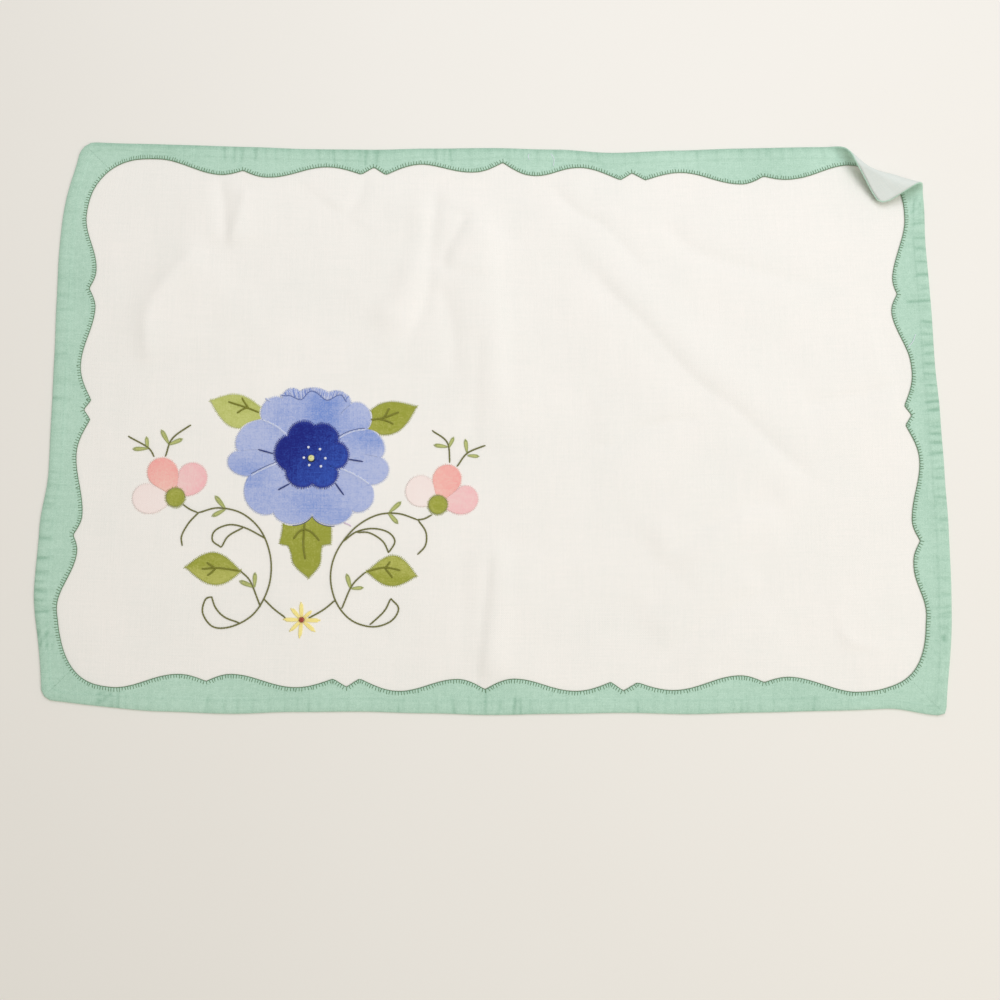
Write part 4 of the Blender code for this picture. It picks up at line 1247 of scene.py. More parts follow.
# How deep the petals' dye is at least, and where it is deeper: u, v, spread along both, how much
PALEST_PETAL = 0.1
PETAL_TONES = (
    (-83.0, 4.0, 10.0, 16.0, 0.70), (-104.0, 2.0, 5.0, 10.0, 0.25), (-88.0, -42.0, 14.0, 10.0, 0.45),
    (-120.0, -27.0, 12.0, 8.0, 0.45), (-112.0, -40.0, 8.0, 8.0, 0.15), (-60.0, -8.0, 11.0, 7.0, 0.60),
    (-70.0, -50.0, 8.0, 6.0, 0.35),
)


def petal_tone(u, v):
    """How deep the petals' dye is at each place: soft oval spots added up."""
    depth = np.zeros(np.shape(u))
    for spot_u, spot_v, spread_u, spread_v, amount in PETAL_TONES:
        depth += amount * np.exp(-(((u - spot_u) / spread_u) ** 2) - ((v - spot_v) / spread_v) ** 2)
    return PALEST_PETAL + depth


def patch_faces(flat, distance):
    """Upper and lower face of a patch on the ground cloth, from each flat place's distance from its edge."""
    upper = with_height(flat, PATCH_LOW + PATCH_RIM + PATCH_RISE * soft_edge(distance))
    return upper, with_height(flat, PATCH_LOW)


def soft_edge(distance):
    """Share of a patch's full height at a distance from its edge: a quarter round, then level."""
    return np.sqrt(1 - (1 - np.clip(distance / PATCH_EDGE, 0, 1)) ** 2)


def meeting_angle(side, share):
    """Angle of the line where two petals meet, at a share of the way in: a parabola through its three."""
    rim, middle, heart, _ = MEETING_LINES[side]
    return rim + share * (4 * middle - 3 * rim - heart) + share**2 * (2 * rim + 2 * heart - 4 * middle)


def petal_grid(lobes):
    """A petal's flat grid from its heart to its lobed rim, angles by row and distances by column."""
    angles = lobe_angles(lobes, PATCH_STEP)
    s = (angles - angles[0]) / (angles[-1] - angles[0])
    rim = lobe_radius(lobes, angles) - PATCH_INSET
    share_in = 1 - eased(PATCH_CELLS)[None, ::-1]
    radius = rim[:, None] + (PETAL_HEART - rim[:, None]) * share_in
    first, last = meeting_angle(angles[0], share_in), meeting_angle(angles[-1], share_in)
    degrees = first + (last - first) * s[:, None]
    return radius, degrees, s, rim


def petal_surface(name, lobes):
    """A petal's upper and lower grids, raised where it laps over a neighbour, and its tone."""
    radius, degrees, s, rim = petal_grid(lobes)
    over_before, over_after = LIES_OVER[name]
    arc = np.radians(degrees[-1] - degrees[0]) * radius
    shift = np.degrees(OVERLAP / radius)
    degrees = degrees - over_before * shift * (1 - s[:, None]) ** 8 + over_after * shift * s[:, None] ** 8
    flat = polar(FLOWER, radius, degrees)
    before, after = s[:, None] * arc, (1 - s[:, None]) * arc
    distance = np.minimum(np.minimum(before, after), rim[:, None] - radius)
    near_before, near_after = np.exp(-((before / LAP_REACH) ** 2)), np.exp(-((after / LAP_REACH) ** 2))
    low = PATCH_LOW + OVERLAP_LIFT * (over_before * near_before + over_after * near_after)
    upper = with_height(flat, low + (PETAL_RIM + PATCH_RISE * soft_edge(distance)))
    return upper, with_height(flat, low), petal_tone(flat[..., 0], flat[..., 1])


def square_to_disc(cells):
    """A grid over a disc with no pole: shares of the rim's radius and angles in degrees."""
    line = np.sin(np.linspace(-1, 1, cells + 1) * math.pi / 2)
    x, y = np.meshgrid(line, line, indexing="ij")
    a, b = x * np.sqrt(1 - y**2 / 2), y * np.sqrt(1 - x**2 / 2)
    return np.hypot(a, b), np.degrees(np.arctan2(b, a))


def disc_surface(middle, lobes, low, top, cells):
    """A round or lobed patch on the disc grid, its edge rounded down."""
    share, degrees = square_to_disc(cells)
    first = lobes[0][0]
    degrees = (degrees - first) % 360 + first
    rim = lobe_radius(lobes, degrees) - PATCH_INSET
    flat = polar(middle, share * rim, degrees)
    height = low + PATCH_RIM + (top - low - PATCH_RIM) * soft_edge((1 - share) * rim)
    return with_height(flat, height), with_height(flat, low)


def leaf_outline_at(name, s):
    """Midrib places, left and right half widths and the way across a leaf, at shares of its length."""
    if name == "leaf_lower":
        length = LOWER_LEAF_LEFT[-1][0]
        down = s * length
        midrib = np.stack([LOWER_LEAF_TOP[0] + LOWER_LEAF_LEAN * down, LOWER_LEAF_TOP[1] - down], axis=-1)
        left, right = keyed(LOWER_LEAF_RIGHT, down), keyed(LOWER_LEAF_LEFT, down)
        return midrib, left, right, np.array([1.0, 0.0]), length
    base, tip, left, right, left_fullest, right_fullest = LEAVES[name]
    base, tip = np.array(base), np.array(tip)
    length = np.hypot(*(tip - base))
    axis = (tip - base) / length
    left = left * np.sin(math.pi * s ** (math.log(0.5) / math.log(left_fullest)))
    right = right * np.sin(math.pi * s ** (math.log(0.5) / math.log(right_fullest)))
    midrib = base + (s * length)[..., None] * axis
    return midrib, left, right, np.array([-axis[1], axis[0]]), length


LEAF_ROWS = 46
LEAF_COLUMNS = 26
LEAF_SAMPLES = 500
LATEST_START = 0.97
TIP_HALF_WIDTH = 0.25
TUCK = 0.5


def leaf_place(name, s, t):
    """A place on a leaf at a share of its length and, from -1 to 1, across it."""
    midrib, left, right, across, _ = leaf_outline_at(name, s)
    half = np.maximum(np.where(t > 0, left, right) - PATCH_INSET, TIP_HALF_WIDTH)
    return midrib + (half * t)[..., None] * across, half


def leaf_start(name, t):
    """Where each lengthwise line of a leaf comes out from under the petals, as a share of its length."""
    s = np.linspace(0, 1, LEAF_SAMPLES)
    places, _ = leaf_place(name, s[:, None] + 0 * t, t + 0 * s[:, None])
    distance, rim = flower_rim(places)
    hidden = distance < rim + TUCK
    last_hidden = np.where(hidden.any(axis=0), len(s) - 1 - np.argmax(hidden[::-1], axis=0), 0)
    return np.minimum(s[last_hidden], LATEST_START)


def leaf_grid(name):
    """A leaf's flat grid without what is under the petals, with distances from the edge and shares across."""
    t = -np.cos(np.linspace(0, math.pi, LEAF_COLUMNS + 1))
    start = leaf_start(name, t)
    s = start[None, :] + (1 - start[None, :]) * eased(LEAF_ROWS)[:, None]
    places, half = leaf_place(name, s, np.broadcast_to(t, s.shape))
    length = leaf_outline_at(name, np.zeros(1))[4]
    from_ends = np.minimum(s - start, 1 - s) * length
    return places, np.minimum((1 - np.abs(t)) * half, from_ends), np.broadcast_to(t, s.shape)


# How deep each leaf's colour is on the left and right of its midrib
LEAF_TONES = {
    "leaf_upper_left": (0.3, 0.5),
    "leaf_upper_right": (0.9, 0.8),
    "leaf_lower": (0.95, 0.9),
    "leaf_side_left": (0.2, 0.85),
    "leaf_side_right": (0.3, 0.8),
}


def leaf_surface(name):
    """A leaf's upper and lower grids and its tone, a little deeper on one side of the midrib."""
    flat, distance, t = leaf_grid(name)
    left, right = LEAF_TONES[name]
    tone = right + (left - right) * (0.5 + 0.5 * np.tanh(3 * t))
    return *patch_faces(flat, distance), tone


def bud_petal_surface(middle, lobe):
    """A bud petal's upper and lower grids from the calyx to its rim, and its tone, deeper towards the rim."""
    angles = lobe_angles((lobe,), BUD_STEP)
    s = (angles - angles[0]) / (angles[-1] - angles[0])
    rim = lobe_radius((lobe,), angles) - PATCH_INSET
    share = eased(BUD_CELLS)
    radius = CALYX_RADIUS - BUD_TUCK + (rim[:, None] - CALYX_RADIUS + BUD_TUCK) * share[None, :]
    flat = polar(middle, radius, angles[:, None] + 0 * radius)
    arc = np.radians(angles[-1] - angles[0]) * radius
    distance = np.minimum(np.minimum(s[:, None], 1 - s[:, None]) * arc, rim[:, None] - radius)
    tone = 0.25 + 0.4 * share[None, :] + 0.2 * (0.5 - s[:, None])
    return *patch_faces(flat, distance), tone


# Whip stitches of each kind: pitch, how far inside and outside the edge they reach, radius, height
WHIP_STITCHES = {
    "petal rim": (0.85, 0.6, 0.75, 0.16, PETAL_TOP_HEIGHT - 0.02),
    "petal lap": (0.62, 0.2, 0.8, 0.19, PETAL_TOP_HEIGHT + OVERLAP_LIFT),
    "centre rim": (0.82, 1.1, 1.0, 0.2, CENTRE_TOP - 0.02),
    "pale under centre": (1.1, -0.4, 1.25, 0.17, PETAL_TOP_HEIGHT + 0.3),
    "leaf rim": (0.85, 0.8, 0.75, 0.17, TRIM_LOW + 0.26),
    "bud petal rim": (0.85, 0.5, 0.65, 0.15, TRIM_LOW + 0.26),
    "calyx rim": (0.7, 1.1, 0.9, 0.17, TRIM_TOP + 0.05),
}
# How much lower they go into the cloth under the patch, and between which shares their length varies
STITCH_DROP = 0.32
STITCH_VARIES = (0.75, 1.25)


def edge_stitches(line, kind, rng, closed=False):
    """Whip stitches square to a patch's edge, which the line follows with the patch on its left."""
    pitch, inside, outside, radius, height = WHIP_STITCHES[kind]
    line = evenly(line, pitch)
    if closed:
        line = line[:-1]
    _, right = ways(line)
    jitter = rng.uniform(*STITCH_VARIES, (len(line), 2))
    start = line - right * inside * jitter[:, :1]
    end = line + right * outside * jitter[:, 1:]
    return stitches(with_height(start, height), with_height(end, height - STITCH_DROP), radius, 0.12)


def rim_line(middle, lobes):
    """A lobed patch's rim, anticlockwise, so that the patch is on its left, and the angle of each point."""
    angles = lobe_angles(lobes, RIM_STEP)
    return polar(middle, lobe_radius(lobes, angles) - PATCH_INSET, angles), angles


def meeting_line(side):
    """The line where two petals meet, from the rim in to the centre patch."""
    share = np.linspace(0, MEETING_SHOWS, 40)
    rim = MEETING_LINES[side][3]
    radius = rim + (PETAL_HEART - rim) * share
    return polar(FLOWER, radius, meeting_angle(side, share))


# The laps beside which a dark line of back stitches is laid as painted shadow
SHADED_LINES = (197.0, 389.0)
# Between which angles the same painted shadow line follows the lower petal's rim across the leaf under it
LEAF_SHADE_LINE = (256.0, 290.0)


def make_petals(rng):
    """The four petals, the whip stitches round their rims and along the edges that lap over a neighbour."""
    rims, laps, shadow_lines = [], [], []
    for name, lobes in PETALS.items():
        upper, lower, tone = petal_surface(name, lobes)
        sheet_piece(name + "_patch", upper, lower, "petal cloth", name, tone)
        line, _ = rim_line(FLOWER, lobes)
        rims.append(edge_stitches(line, "petal rim", rng))
        for side, over, way in zip((lobes[0][0], lobes[-1][1]), LIES_OVER[name], (-1, 1)):
            if not over:
                continue
            edge = meeting_line(side)[::way]
            laps.append(edge_stitches(edge, "petal lap", rng))
            # A dark line of back stitches beside this lap: painted shadow of the lapping petal's edge
            if side in SHADED_LINES:
                _, outward = ways(edge, 2)
                shadow_lines.append(back_stitches(edge + outward * 1.05, 1.1, PETAL_TOP_HEIGHT + 0.06, 0.12))
    # The same painted shadow along the lower petal's rim, where it lies over the leaf
    degrees = np.linspace(*LEAF_SHADE_LINE, 60)
    line = polar(FLOWER, lobe_radius(PETALS["petal_bottom"], degrees) + 0.45, degrees)
    shadow_lines.append(back_stitches(line, 1.1, TRIM_LOW + 0.28, 0.16))
    thread_piece("petal_edge_stitches", "lilac thread", "light_thread", *rims)
    thread_piece("petal_lap_stitches", "white thread", "light_thread", *laps)
    thread_piece("petal_shadow_stitches", "dark blue thread", "deep_blue_cloth", *shadow_lines)


# The wavy fold under the top petal's rim: angle, distance from the flower's middle
FRILL = (
    (60.0, 32.3), (66.6, 34.2), (77.0, 29.5), (91.5, 33.3), (101.5, 29.5), (113.0, 33.4), (117.0, 34.9),
)
FRILL_STITCHES = 130
# A tuft of thread that stands out of the top petal's rim: angle and distance of both ends
TUFT = ((126.2, 34.6), (128.2, 37.4))


def make_frill(rng):
    """The top petal's double edge: close stitches from a wavy fold out to the rim, and the fold's line."""
    degrees = np.linspace(FRILL[0][0], FRILL[-1][0], FRILL_STITCHES)
    rim = lobe_radius(PETALS["petal_top"], degrees)
    start = polar(FLOWER, keyed(FRILL, degrees) + rng.uniform(0.1, 0.4, len(degrees)), degrees)
    reach = rim + rng.uniform(-0.3, 0.25, len(degrees))
    end = polar(FLOWER, reach, degrees + rng.normal(0, 0.5, len(degrees)))
    start, end = with_height(start, PETAL_TOP_HEIGHT), with_height(end, TRIM_LOW + 0.15)
    blue = rng.uniform(size=len(degrees)) < 0.4
    pale = stitches(start[~blue], end[~blue], 0.17, 0.2)
    tuft_ends = np.array(TUFT)
    root, tip = (polar(FLOWER, tuft_ends[k : k + 1, 1], tuft_ends[k : k + 1, 0]) for k in (0, 1))
    tuft = stitches(with_height(root, PETAL_TOP_HEIGHT), with_height(tip, GROUND_TOP + 0.2), 0.45, 0.15)
    thread_piece("petal_frill", "lilac thread", "light_thread", pale, tuft)
    shape = stitches(start[blue], end[blue], 0.17, 0.16)
    thread_piece("petal_frill_blue", "petal blue thread", "light_thread", shape)
    line = polar(FLOWER, keyed(FRILL, degrees), degrees)
    fold = back_stitches(line, 1.3, PETAL_TOP_HEIGHT + 0.03, 0.19, 0.05)
    thread_piece("petal_frill_fold", "dusty blue thread", "light_thread", fold)


# Between which angles pale stitches show among the centre patch's dark ones
PALE_STITCHES = (228.0, 345.0)


def make_centre(rng):
    """The deep blue centre patch and its jagged whip stitches."""
    upper, lower = disc_surface(FLOWER, CENTRE_LOBES, PETAL_TOP_HEIGHT + 0.04, CENTRE_TOP, CENTRE_CELLS)
    u, v = upper[..., 0] - FLOWER[0], upper[..., 1] - FLOWER[1]
    tone = np.clip(0.35 + (u - v) / 46.0, 0, 1)
    sheet_piece("flower_centre_patch", upper, lower, "centre cloth", "flower_centre", tone)
    line, angles = rim_line(FLOWER, CENTRE_LOBES)
    shape = edge_stitches(line, "centre rim", rng, closed=True)
    thread_piece("centre_edge_stitches", "deep blue thread", "deep_blue_cloth", shape)
    under = line[(angles > PALE_STITCHES[0]) & (angles < PALE_STITCHES[1])]
    shape = edge_stitches(under, "pale under centre", rng)
    thread_piece("centre_pale_stitches", "white thread", "light_thread", shape)


LEAF_EDGE_STEPS = 90


def leaf_edge_line(name):
    """A leaf's edge, anticlockwise, where it shows beyond the petals."""
    t = np.array([-1.0, 1.0])
    start = leaf_start(name, t)
    s = start[:, None] + (1 - start[:, None]) * eased(LEAF_EDGE_STEPS)
    right, _ = leaf_place(name, s[0], np.full(len(s[0]), t[0]))
    left, _ = leaf_place(name, s[1], np.full(len(s[1]), t[1]))
    line = np.concatenate([right, left[::-1]])
    turned = (line[:, 0] * np.roll(line[:, 1], -1) - line[:, 1] * np.roll(line[:, 0], -1)).sum()
    return line if turned > 0 else line[::-1]


def slot_named(dye):
    """The slot name of the cloth of that dye, which thread_piece takes and does not use."""
    return dye.replace(" ", "_") + "_cloth"


def make_leaves(rng):
    """The five leaves and the stitches round their edges."""
    edges = {"leaf": [], "pale leaf": []}
    for name in (*LEAVES, "leaf_lower"):
        dye = "pale leaf" if name == "leaf_upper_left" else "leaf"
        upper, lower, tone = leaf_surface(name)
        sheet_piece(name + "_patch", upper, lower, f"{dye} cloth", name, tone)
        edges[dye].append(edge_stitches(leaf_edge_line(name), "leaf rim", rng))
    for dye, shapes in edges.items():
        name = dye.replace(" ", "_") + "_edge_stitches"
        thread_piece(name, f"{dye} thread", slot_named(dye), *shapes)


# The dye of each bud petal's cloth and thread
BUD_DYES = {"coral": "coral", "pink": "pink", "pale": "pale pink"}


def make_buds(rng):
    """Both buds: three petals, each with its edge stitches, and a round calyx."""
    calyx_lobe = ((0.0, 360.0, CALYX_RADIUS, CALYX_RADIUS, CALYX_RADIUS),)
    rims = {colour: [] for colour in BUD_DYES}
    calyx_rims = []
    for bud, (middle, petals) in BUDS.items():
        for colour, lobe in petals.items():
            upper, lower, tone = bud_petal_surface(middle, lobe)
            name, dye = f"{bud}_{colour}", BUD_DYES[colour]
            sheet_piece(name + "_patch", upper, lower, f"{dye} cloth", name, tone)
            start, end, low, high, _ = lobe
            rim, _ = rim_line(middle, (lobe,))
            out = polar(middle, np.linspace(CALYX_RADIUS, low, 12), start)
            back = polar(middle, np.linspace(CALYX_RADIUS, high, 12), end)[::-1]
            line = np.concatenate([out, rim, back])
            rims[colour].append(edge_stitches(line, "bud petal rim", rng))
        upper, lower = disc_surface(middle, calyx_lobe, PATCH_LOW, TRIM_TOP + 0.1, CALYX_CELLS)
        name = f"{bud}_calyx"
        piece, _ = cloth_piece(name + "_patch", upper, lower, "leaf cloth", name, CALYX_TONE)
        ring = polar(middle, np.full(121, CALYX_RADIUS - PATCH_INSET), np.linspace(0, 360, 121))
        calyx_rims.append(edge_stitches(ring, "calyx rim", rng, closed=True))
    for colour, shapes in rims.items():
        dye = BUD_DYES[colour]
        thread_piece(f"bud_{colour}_edge_stitches", f"{dye} thread", slot_named(dye), *shapes)
    thread_piece("calyx_edge_stitches", "leaf thread", "leaf_cloth", *calyx_rims)


# ---- The embroidery ----

# Stems, curls, tendrils and sprigs: the places that each line of stem stitch passes
STEMS = (
    ((-149.4, -42.0), (-145.8, -44.3), (-141.9, -45.8)),
    ((-141.9, -45.8), (-146.4, -51.0), (-149.4, -57.2), (-148.8, -61.8)),
    (
        (-141.9, -45.8), (-132.5, -43.3), (-121.0, -45.8), (-111.6, -54.2), (-106.6, -67.0),
        (-107.0, -80.5), (-113.0, -92.8), (-122.8, -99.2), (-132.2, -99.9), (-137.6, -93.6),
        (-136.8, -87.2), (-133.9, -85.6),
    ),
    ((-133.9, -85.6), (-131.6, -91.0), (-127.2, -95.2), (-120.1, -97.8)),
    ((-109.9, -57.4), (-119.0, -52.8), (-126.8, -51.3), (-133.6, -54.2), (-134.6, -59.0), (-130.2, -62.2)),
    ((-130.2, -62.2), (-127.2, -56.8), (-120.5, -52.7)),
    ((-120.7, -73.3), (-115.8, -78.2), (-110.5, -90.2)),
    ((-109.3, -86.2), (-104.2, -91.0), (-98.4, -95.2)),
    ((-164.2, -19.1), (-167.6, -14.6), (-177.4, -9.4)),
    ((-158.9, -18.9), (-156.0, -10.0), (-147.3, -3.0)),
    ((-30.5, -45.7), (-33.8, -47.6), (-37.1, -48.2)),
    ((-37.1, -48.2), (-33.2, -54.0), (-33.2, -60.4), (-36.9, -65.0)),
    (
        (-37.1, -48.2), (-46.8, -45.2), (-57.2, -46.2), (-67.4, -52.6), (-75.2, -63.4), (-77.9, -75.0),
        (-75.2, -86.9), (-67.9, -95.8), (-57.6, -99.2), (-48.8, -96.6), (-45.2, -90.6), (-49.1, -85.8),
    ),
    ((-49.1, -85.8), (-52.0, -91.8), (-58.6, -98.3)),
    ((-72.6, -59.0), (-66.4, -54.2), (-58.6, -52.5), (-51.2, -54.2), (-47.8, -58.6), (-50.6, -64.1)),
    ((-50.6, -64.1), (-53.6, -58.6), (-60.0, -54.6), (-66.2, -54.4)),
    ((-61.3, -73.2), (-67.6, -79.8), (-72.1, -90.8)),
    ((-75.3, -86.7), (-80.6, -91.2), (-87.6, -95.3)),
    ((-22.2, -20.4), (-23.6, -10.4), (-31.0, -4.6)),
    ((-18.8, -22.3), (-13.8, -15.6), (-5.2, -11.8)),
)
# The stems' stem stitch: radius, pitch, length, slant and height
STEM_STITCH = (0.35, 1.45, 2.5, 0.13, GROUND_TOP + 0.12)


def stem_stitch(places, radius, pitch, length, slant, height):
    """A rope of overlapping stitches, each crossing the line from its left to its right as it goes."""
    line = evenly(smooth_curve(places, 0.3), 0.25)
    run = run_along(line)
    count = max(1, round((run[-1] - length) / pitch) + 1)
    first = np.linspace(0, max(run[-1] - length, 0), count)
    last = np.minimum(first + length, run[-1])
    _, right = ways(line, 2)
    paths = []
    for share, swing in zip(STITCH_SHARES, (STITCH_SHARES - 0.5) * 2 * slant):
        at = first + (last - first) * share
        place = np.stack([np.interp(at, run, line[:, k]) for k in (0, 1)], axis=1)
        aside = np.stack([np.interp(at, run, right[:, k]) for k in (0, 1)], axis=1)
        paths.append(with_height(place + aside * swing, height + 0.16 * math.sin(math.pi * share)))
    paths = np.stack(paths, axis=1)
    return strands(paths, np.broadcast_to(radius * STITCH_SWELL, paths.shape[:2]))


# Small looped leaves on the stems: where each starts and its tip
LOOPS = (
    ((-167.6, -15.4), (-168.4, -9.8)), ((-167.9, -15.2), (-174.4, -15.6)),
    ((-157.7, -12.4), (-161.3, -6.2)), ((-157.4, -13.0), (-151.4, -10.2)),
    ((-129.2, -43.6), (-134.0, -37.8)), ((-129.2, -44.0), (-135.0, -47.2)),
    ((-113.9, -80.9), (-120.6, -78.2)), ((-113.7, -80.8), (-113.7, -74.4)),
    ((-50.7, -44.6), (-45.6, -39.8)), ((-51.3, -44.8), (-46.8, -49.8)), ((-68.2, -81.2), (-70.2, -74.6)),
    ((-67.8, -81.2), (-62.6, -80.8)), ((-23.5, -12.6), (-29.6, -11.8)), ((-22.9, -13.0), (-20.6, -8.2)),
    ((-14.1, -15.2), (-14.8, -9.2)), ((-13.7, -16.8), (-8.6, -17.2)),
)
LOOP_SHARE = 0.13
LOOP_FILLING = 0.05
LOOP_RADIUS = 0.3
LOOP_POINTS = 21


def loop_paths(wide, height):
    """Each looped leaf as one thread that leaves its base, bellies out, turns at the tip and comes back."""
    turn = np.linspace(0, 2 * math.pi, LOOP_POINTS)
    base = np.array([row[0] for row in LOOPS])
    way = np.array([row[1] for row in LOOPS]) - base
    across = np.stack([-way[:, 1], way[:, 0]], axis=1)
    ahead = (1 - np.cos(turn)) / 2 * (0.8 + 1.5 * wide)
    belly = wide * np.sin(turn) * (0.45 + 0.75 * ahead)
    flat = base[:, None] + way[:, None] * ahead[:, None] + across[:, None] * belly[:, None]
    return with_height(flat, height + 0.06 * np.sin(turn / 2))


def make_stems():
    """Stem stitch along every stem, the looped leaves and the small stitches that hold their tips."""
    ropes = [stem_stitch(places, *STEM_STITCH) for places in STEMS]
    thread_piece("stems", "stem thread", "stem_thread", *ropes)
    loops = even_thread(loop_paths(LOOP_SHARE, GROUND_TOP + 0.16), LOOP_RADIUS)
    filling = even_thread(loop_paths(LOOP_FILLING, GROUND_TOP + 0.02), LOOP_RADIUS)
    thread_piece("looped_leaf_filling", "pale leaf thread", "light_thread", filling)
    tips = np.array([row[1] for row in LOOPS])
    way = tips - np.array([row[0] for row in LOOPS])
    way /= np.hypot(way[:, 0], way[:, 1])[:, None]
    inside = with_height(tips - way * 0.2, GROUND_TOP + 0.35)
    tacks = stitches(inside, with_height(tips + way * 0.6, GROUND_TOP), 0.2, 0.2)
    thread_piece("looped_leaves", "sprig thread", "light_thread", loops, tacks)


# The veins' stem stitch: radius, pitch, length, slant and height
VEIN_STITCH = (0.42, 1.3, 2.3, 0.12, TRIM_LOW + 0.3)
# The places that each vein passes
VEINS = (
    ((-114.6, 3.6), (-120.8, 5.9), (-129.6, 8.6)),
    ((-123.2, 10.8), (-121.6, 8.2), (-119.6, 5.6)),
    ((-125.2, 3.0), (-122.8, 4.8), (-120.6, 5.8)),
    ((-60.4, 0.4), (-53.8, 1.7), (-47.0, 4.4)),
    ((-51.8, 6.4), (-52.8, 4.0), (-54.2, 1.7)),
    ((-57.0, 1.0), (-53.4, 0.2), (-49.6, -1.5)),
    ((-91.0, -50.4), (-91.2, -60.5), (-90.0, -67.4)),
    ((-91.0, -53.0), (-87.4, -54.6), (-83.6, -58.6)),
    ((-91.0, -53.0), (-93.6, -54.4), (-96.0, -57.8)),
    ((-120.9, -73.3), (-131.0, -72.1), (-139.0, -72.7)),
    ((-136.8, -69.6), (-134.8, -70.8), (-132.4, -72.3)),
    ((-136.2, -75.8), (-134.2, -74.2), (-132.6, -72.5)),
    ((-60.6, -73.0), (-52.4, -71.2), (-44.8, -72.4)),
    ((-49.8, -68.2), (-50.8, -69.8), (-52.0, -71.4)),
    ((-48.4, -76.0), (-50.4, -73.6), (-52.2, -71.6)),
)


def make_veins():
    """The leaves' veins, in a thicker thread than the stems."""
    ropes = [stem_stitch(places, *VEIN_STITCH) for places in VEINS]
    thread_piece("leaf_veins", "vein thread", "stem_thread", *ropes)


# Dark straight stitches that run out from the centre patch: angle and distance of both ends
DARTS = (
    ((173.4, 18.6), (170.9, 26.2)), ((230.4, 16.2), (224.8, 22.0)), ((314.4, 16.6), (312.0, 23.8)),
    ((359.2, 17.8), (357.0, 24.8)),
)
# Knots: how often the thread is wound, in how many points, and those in the flower: angle and distance
KNOT_TURNS = 2.3
KNOT_POINTS = 34
KNOTS = ((106.5, 5.6), (48.3, 6.0), (176.4, 3.6), (0.5, 6.7), (254.7, 3.5), (320.3, 6.1))


def knot(middle, size, height):
    """A French knot: a thread wound into a small steep coil that closes over its top."""
    t = np.linspace(0, 1, KNOT_POINTS)
    angle = 2 * math.pi * KNOT_TURNS * t
    radius = size * (0.62 - 0.42 * t**2)
    flat = np.stack([middle[0] + radius * np.cos(angle), middle[1] + radius * np.sin(angle)], axis=-1)
    path = with_height(flat, height + size * (0.3 + 0.75 * t))[None]
    swell = np.full(len(t), 0.42)
    swell[[0, -1]] = 0.2
    return strands(path, size * swell[None])


# Short ends of white thread left on the border
STRAY_THREADS = (
    ((29.6, 137.6), (31.0, 134.6), (30.4, 131.2)),
    ((18.4, 137.4), (18.0, 135.6), (18.6, 134.2)),
    ((203.0, 34.6), (205.6, 37.4), (207.2, 41.0)),
)


def make_flower_stitches():
    """The straight stitches on the petals, the knots, one loose thread end and the border's stray threads."""
    ends = np.array(DARTS)
    start = polar(FLOWER, ends[:, 0, 1], ends[:, 0, 0])
    end = polar(FLOWER, ends[:, 1, 1], ends[:, 1, 0])
    darts = level_stitches(start, end, PETAL_TOP_HEIGHT + 0.1, 0.36, 0.25)
    thread_piece("petal_straight_stitches", "dark blue thread", "deep_blue_cloth", darts)
    places = [polar(FLOWER, distance, angle) for angle, distance in KNOTS]
    pale = [knot(place, 0.66, CENTRE_TOP - 0.1) for place in places]
    thread_piece("pale_knots", "pale knot thread", "light_thread", *pale)
    thread_piece("yellow_knot", "cream yellow thread", "yellow_thread", knot(FLOWER, 1.55, CENTRE_TOP - 0.1))
    loose = smooth_curve(((-72.2, -49.9), (-70.2, -50.6), (-68.9, -51.4)), 0.6)
    path = with_height(loose, GROUND_TOP + 0.16)[None]
    thread_piece("mauve_thread_end", "mauve thread", "light_thread", even_thread(path, 0.34))
    # A ring of dark stitches round the yellow knot: painted shadow
    ring = polar(FLOWER, np.full(14, 1.75), np.linspace(95, 345, 14))
    ring = level_stitches(ring[:-1], ring[1:], CENTRE_TOP + 0.02, 0.26, 0.03)
    thread_piece("yellow_knot_shadow_ring", "knot shadow thread", "deep_blue_cloth", ring)
    strays = []
    for places in STRAY_THREADS:
        path = with_height(smooth_curve(places, 0.8), TRIM_TOP + 0.25)[None]
        strays.append(even_thread(path, 0.17))
    thread_piece("stray_threads", "white thread", "light_thread", *strays)


DAISY = (-90.8, -96.1)
# The daisy's rays: angle, length
RAYS = (
    (94.0, 8.4), (134.0, 7.6), (180.0, 8.8), (226.0, 7.8), (266.0, 8.8), (320.0, 8.6), (358.0, 8.8),
    (43.0, 6.2),
)
# Each ray's thickness, and its shares from its root to its blunt tip
RAY_RADIUS = 0.4
RAY_SWELL = np.array([0.5, 0.8, 1.0, 1.0, 0.8])


def make_daisy(rng):
    """The small daisy: each ray three straight stitches side by side, and a rust-coloured knot."""
    degrees, length = np.array(RAYS).T
    shapes = []
    for aside, reach in ((-1.0, 0.88), (0.0, 1.0), (1.0, 0.86)):
        inner = polar(DAISY, np.full(len(RAYS), 1.2), degrees + 16 * aside)
        outer = polar(DAISY, length * reach, degrees + 3.2 * aside + rng.uniform(-1.5, 1.5, len(RAYS)))
        belly = polar(DAISY, length * 0.55, degrees + 9 * aside)
        inner, belly, outer = inner[:, None], belly[:, None], outer[:, None]
        share = STITCH_SHARES[:, None]
        curve = (1 - share) ** 2 * inner + 2 * share * (1 - share) * belly + share**2 * outer
        paths = with_height(curve, GROUND_TOP + 0.1 + 0.16 * np.sin(math.pi * STITCH_SHARES))
        shapes.append(strands(paths, np.broadcast_to(RAY_RADIUS * RAY_SWELL, paths.shape[:2])))
    thread_piece("daisy_rays", "yellow thread", "yellow_thread", *shapes)
    thread_piece("daisy_knot", "rust thread", "yellow_thread", knot(DAISY, 1.25, GROUND_TOP + 0.2))


# ---- Camera, floor and light ----

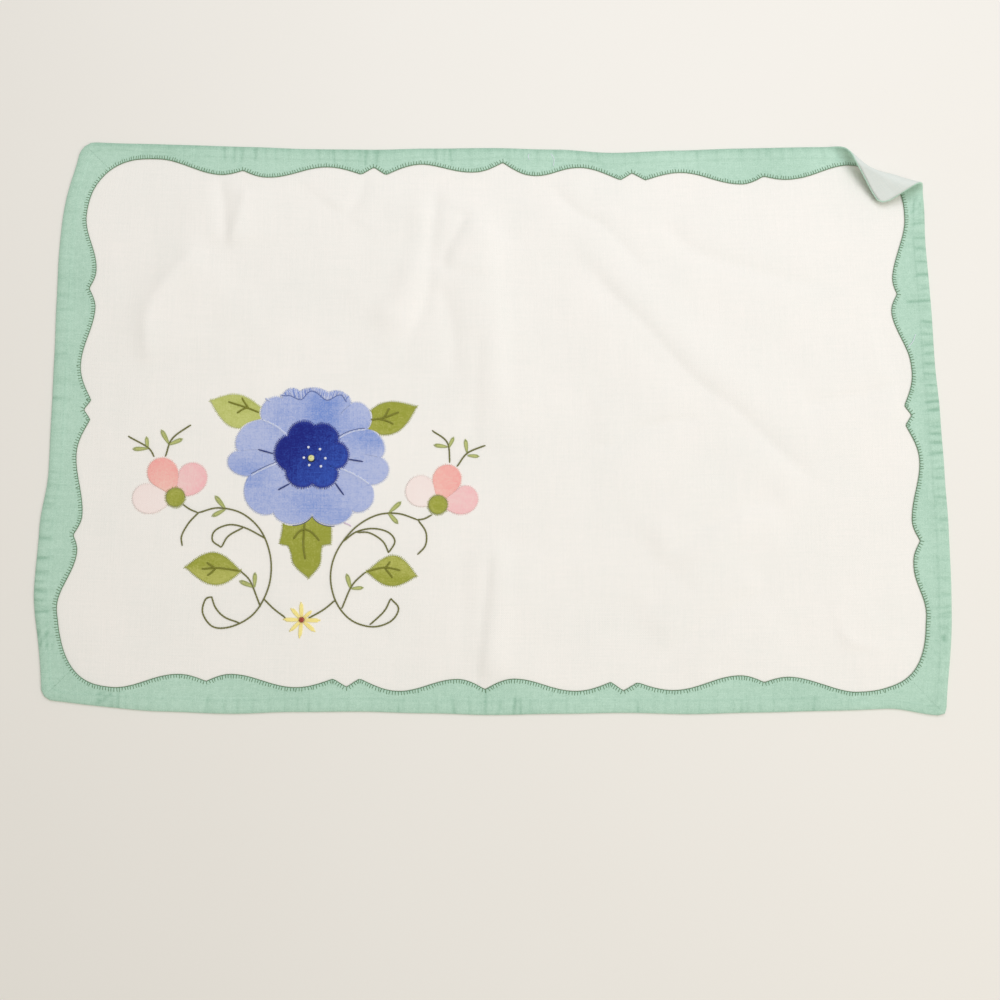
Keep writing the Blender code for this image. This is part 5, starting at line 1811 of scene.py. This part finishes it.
CAMERA_PLACE = (0.00326, -0.11279, 0.51131)
CAMERA_TILT = 8.073
CAMERA_YAW = 0.272
CAMERA_ROLL = -0.149
FIELD_OF_VIEW = 50.0
FLOOR_SIZE = 6.0


def make_camera():
    """The camera stands above the near edge and looks almost straight down."""
    data = bpy.data.cameras.new("camera")
    data.sensor_width = 36.0
    data.lens = data.sensor_width / 2 / math.tan(math.radians(FIELD_OF_VIEW / 2))
    data.clip_start = 0.01
    camera = bpy.data.objects.new("camera", data)
    yaw = Matrix.Rotation(math.radians(CAMERA_YAW), 4, "Z")
    tilt = Matrix.Rotation(math.radians(CAMERA_TILT), 4, "X")
    roll = Matrix.Rotation(math.radians(CAMERA_ROLL), 4, "Z")
    camera.matrix_world = Matrix.Translation(CAMERA_PLACE) @ yaw @ tilt @ roll
    bpy.context.scene.collection.objects.link(camera)
    bpy.context.scene.camera = camera


def floor_finish():
    """A smooth pale surface, very slightly mottled."""
    made, tree, shader = shaded("pale floor", 0.0, 0.5, 0.2)
    place = node(tree, "ShaderNodeTexCoord").outputs["Object"]
    mottle = noise(tree, place, 5.0, 4.0)
    colour = mixed(tree, mottle, paint(241, 239, 234), paint(238, 235, 229))
    tree.links.new(colour, shader.inputs["Base Color"])
    shader.inputs["Roughness"].default_value = 0.7
    return made


def make_floor():
    """A level floor, just under the cloth."""
    half = FLOOR_SIZE / 2
    corners = np.array([(-half, -half, 0), (half, -half, 0), (half, half, 0), (-half, half, 0)], float)
    mesh = bpy.data.meshes.new("floor")
    mesh.from_pydata(corners.tolist(), [], [(0, 1, 2, 3)])
    mesh.materials.append(floor_finish())
    floor = bpy.data.objects.new("floor", mesh)
    bpy.context.scene.collection.objects.link(floor)


# Soft lights: place, width, watts, colour
LIGHTS = {
    "key light": ((0.85, -0.45, 0.95), 0.55, 4.4, (1.0, 0.98, 0.95)),
    "window light": ((0.10, 0.35, 0.70), 0.60, 2.65, (0.86, 0.90, 1.0)),
}
SURROUND = (0.547, 0.52, 0.47)


def make_lights():
    """A key light from the near right, a cooler one from the far side and an even, slightly warm surround."""
    for name, (place, size, watts, colour) in LIGHTS.items():
        data = bpy.data.lights.new(name, "AREA")
        data.shape = "SQUARE"
        data.size = size
        data.energy = watts
        data.color = colour
        light = bpy.data.objects.new(name, data)
        aim = (-Vector(place)).to_track_quat("-Z", "Y").to_matrix().to_4x4()
        light.matrix_world = Matrix.Translation(place) @ aim
        light.visible_camera = False
        bpy.context.scene.collection.objects.link(light)
    world = bpy.data.worlds.new("pale surround")
    world.use_nodes = True
    world.node_tree.nodes["Background"].inputs["Color"].default_value = (*SURROUND, 1.0)
    world.node_tree.nodes["Background"].inputs["Strength"].default_value = 1.0
    bpy.context.scene.world = world
    bpy.context.scene.view_settings.view_transform = "Standard"


# ---- The whole placemat ----

make_camera()
make_floor()
make_lights()
make_border()
draws = np.random.default_rng(5)
make_petals(draws)
make_frill(draws)
make_centre(draws)
make_leaves(draws)
make_buds(draws)
make_stems()
make_veins()
make_flower_stitches()
make_daisy(draws)
make_ground()

bpy.context.view_layer.update()
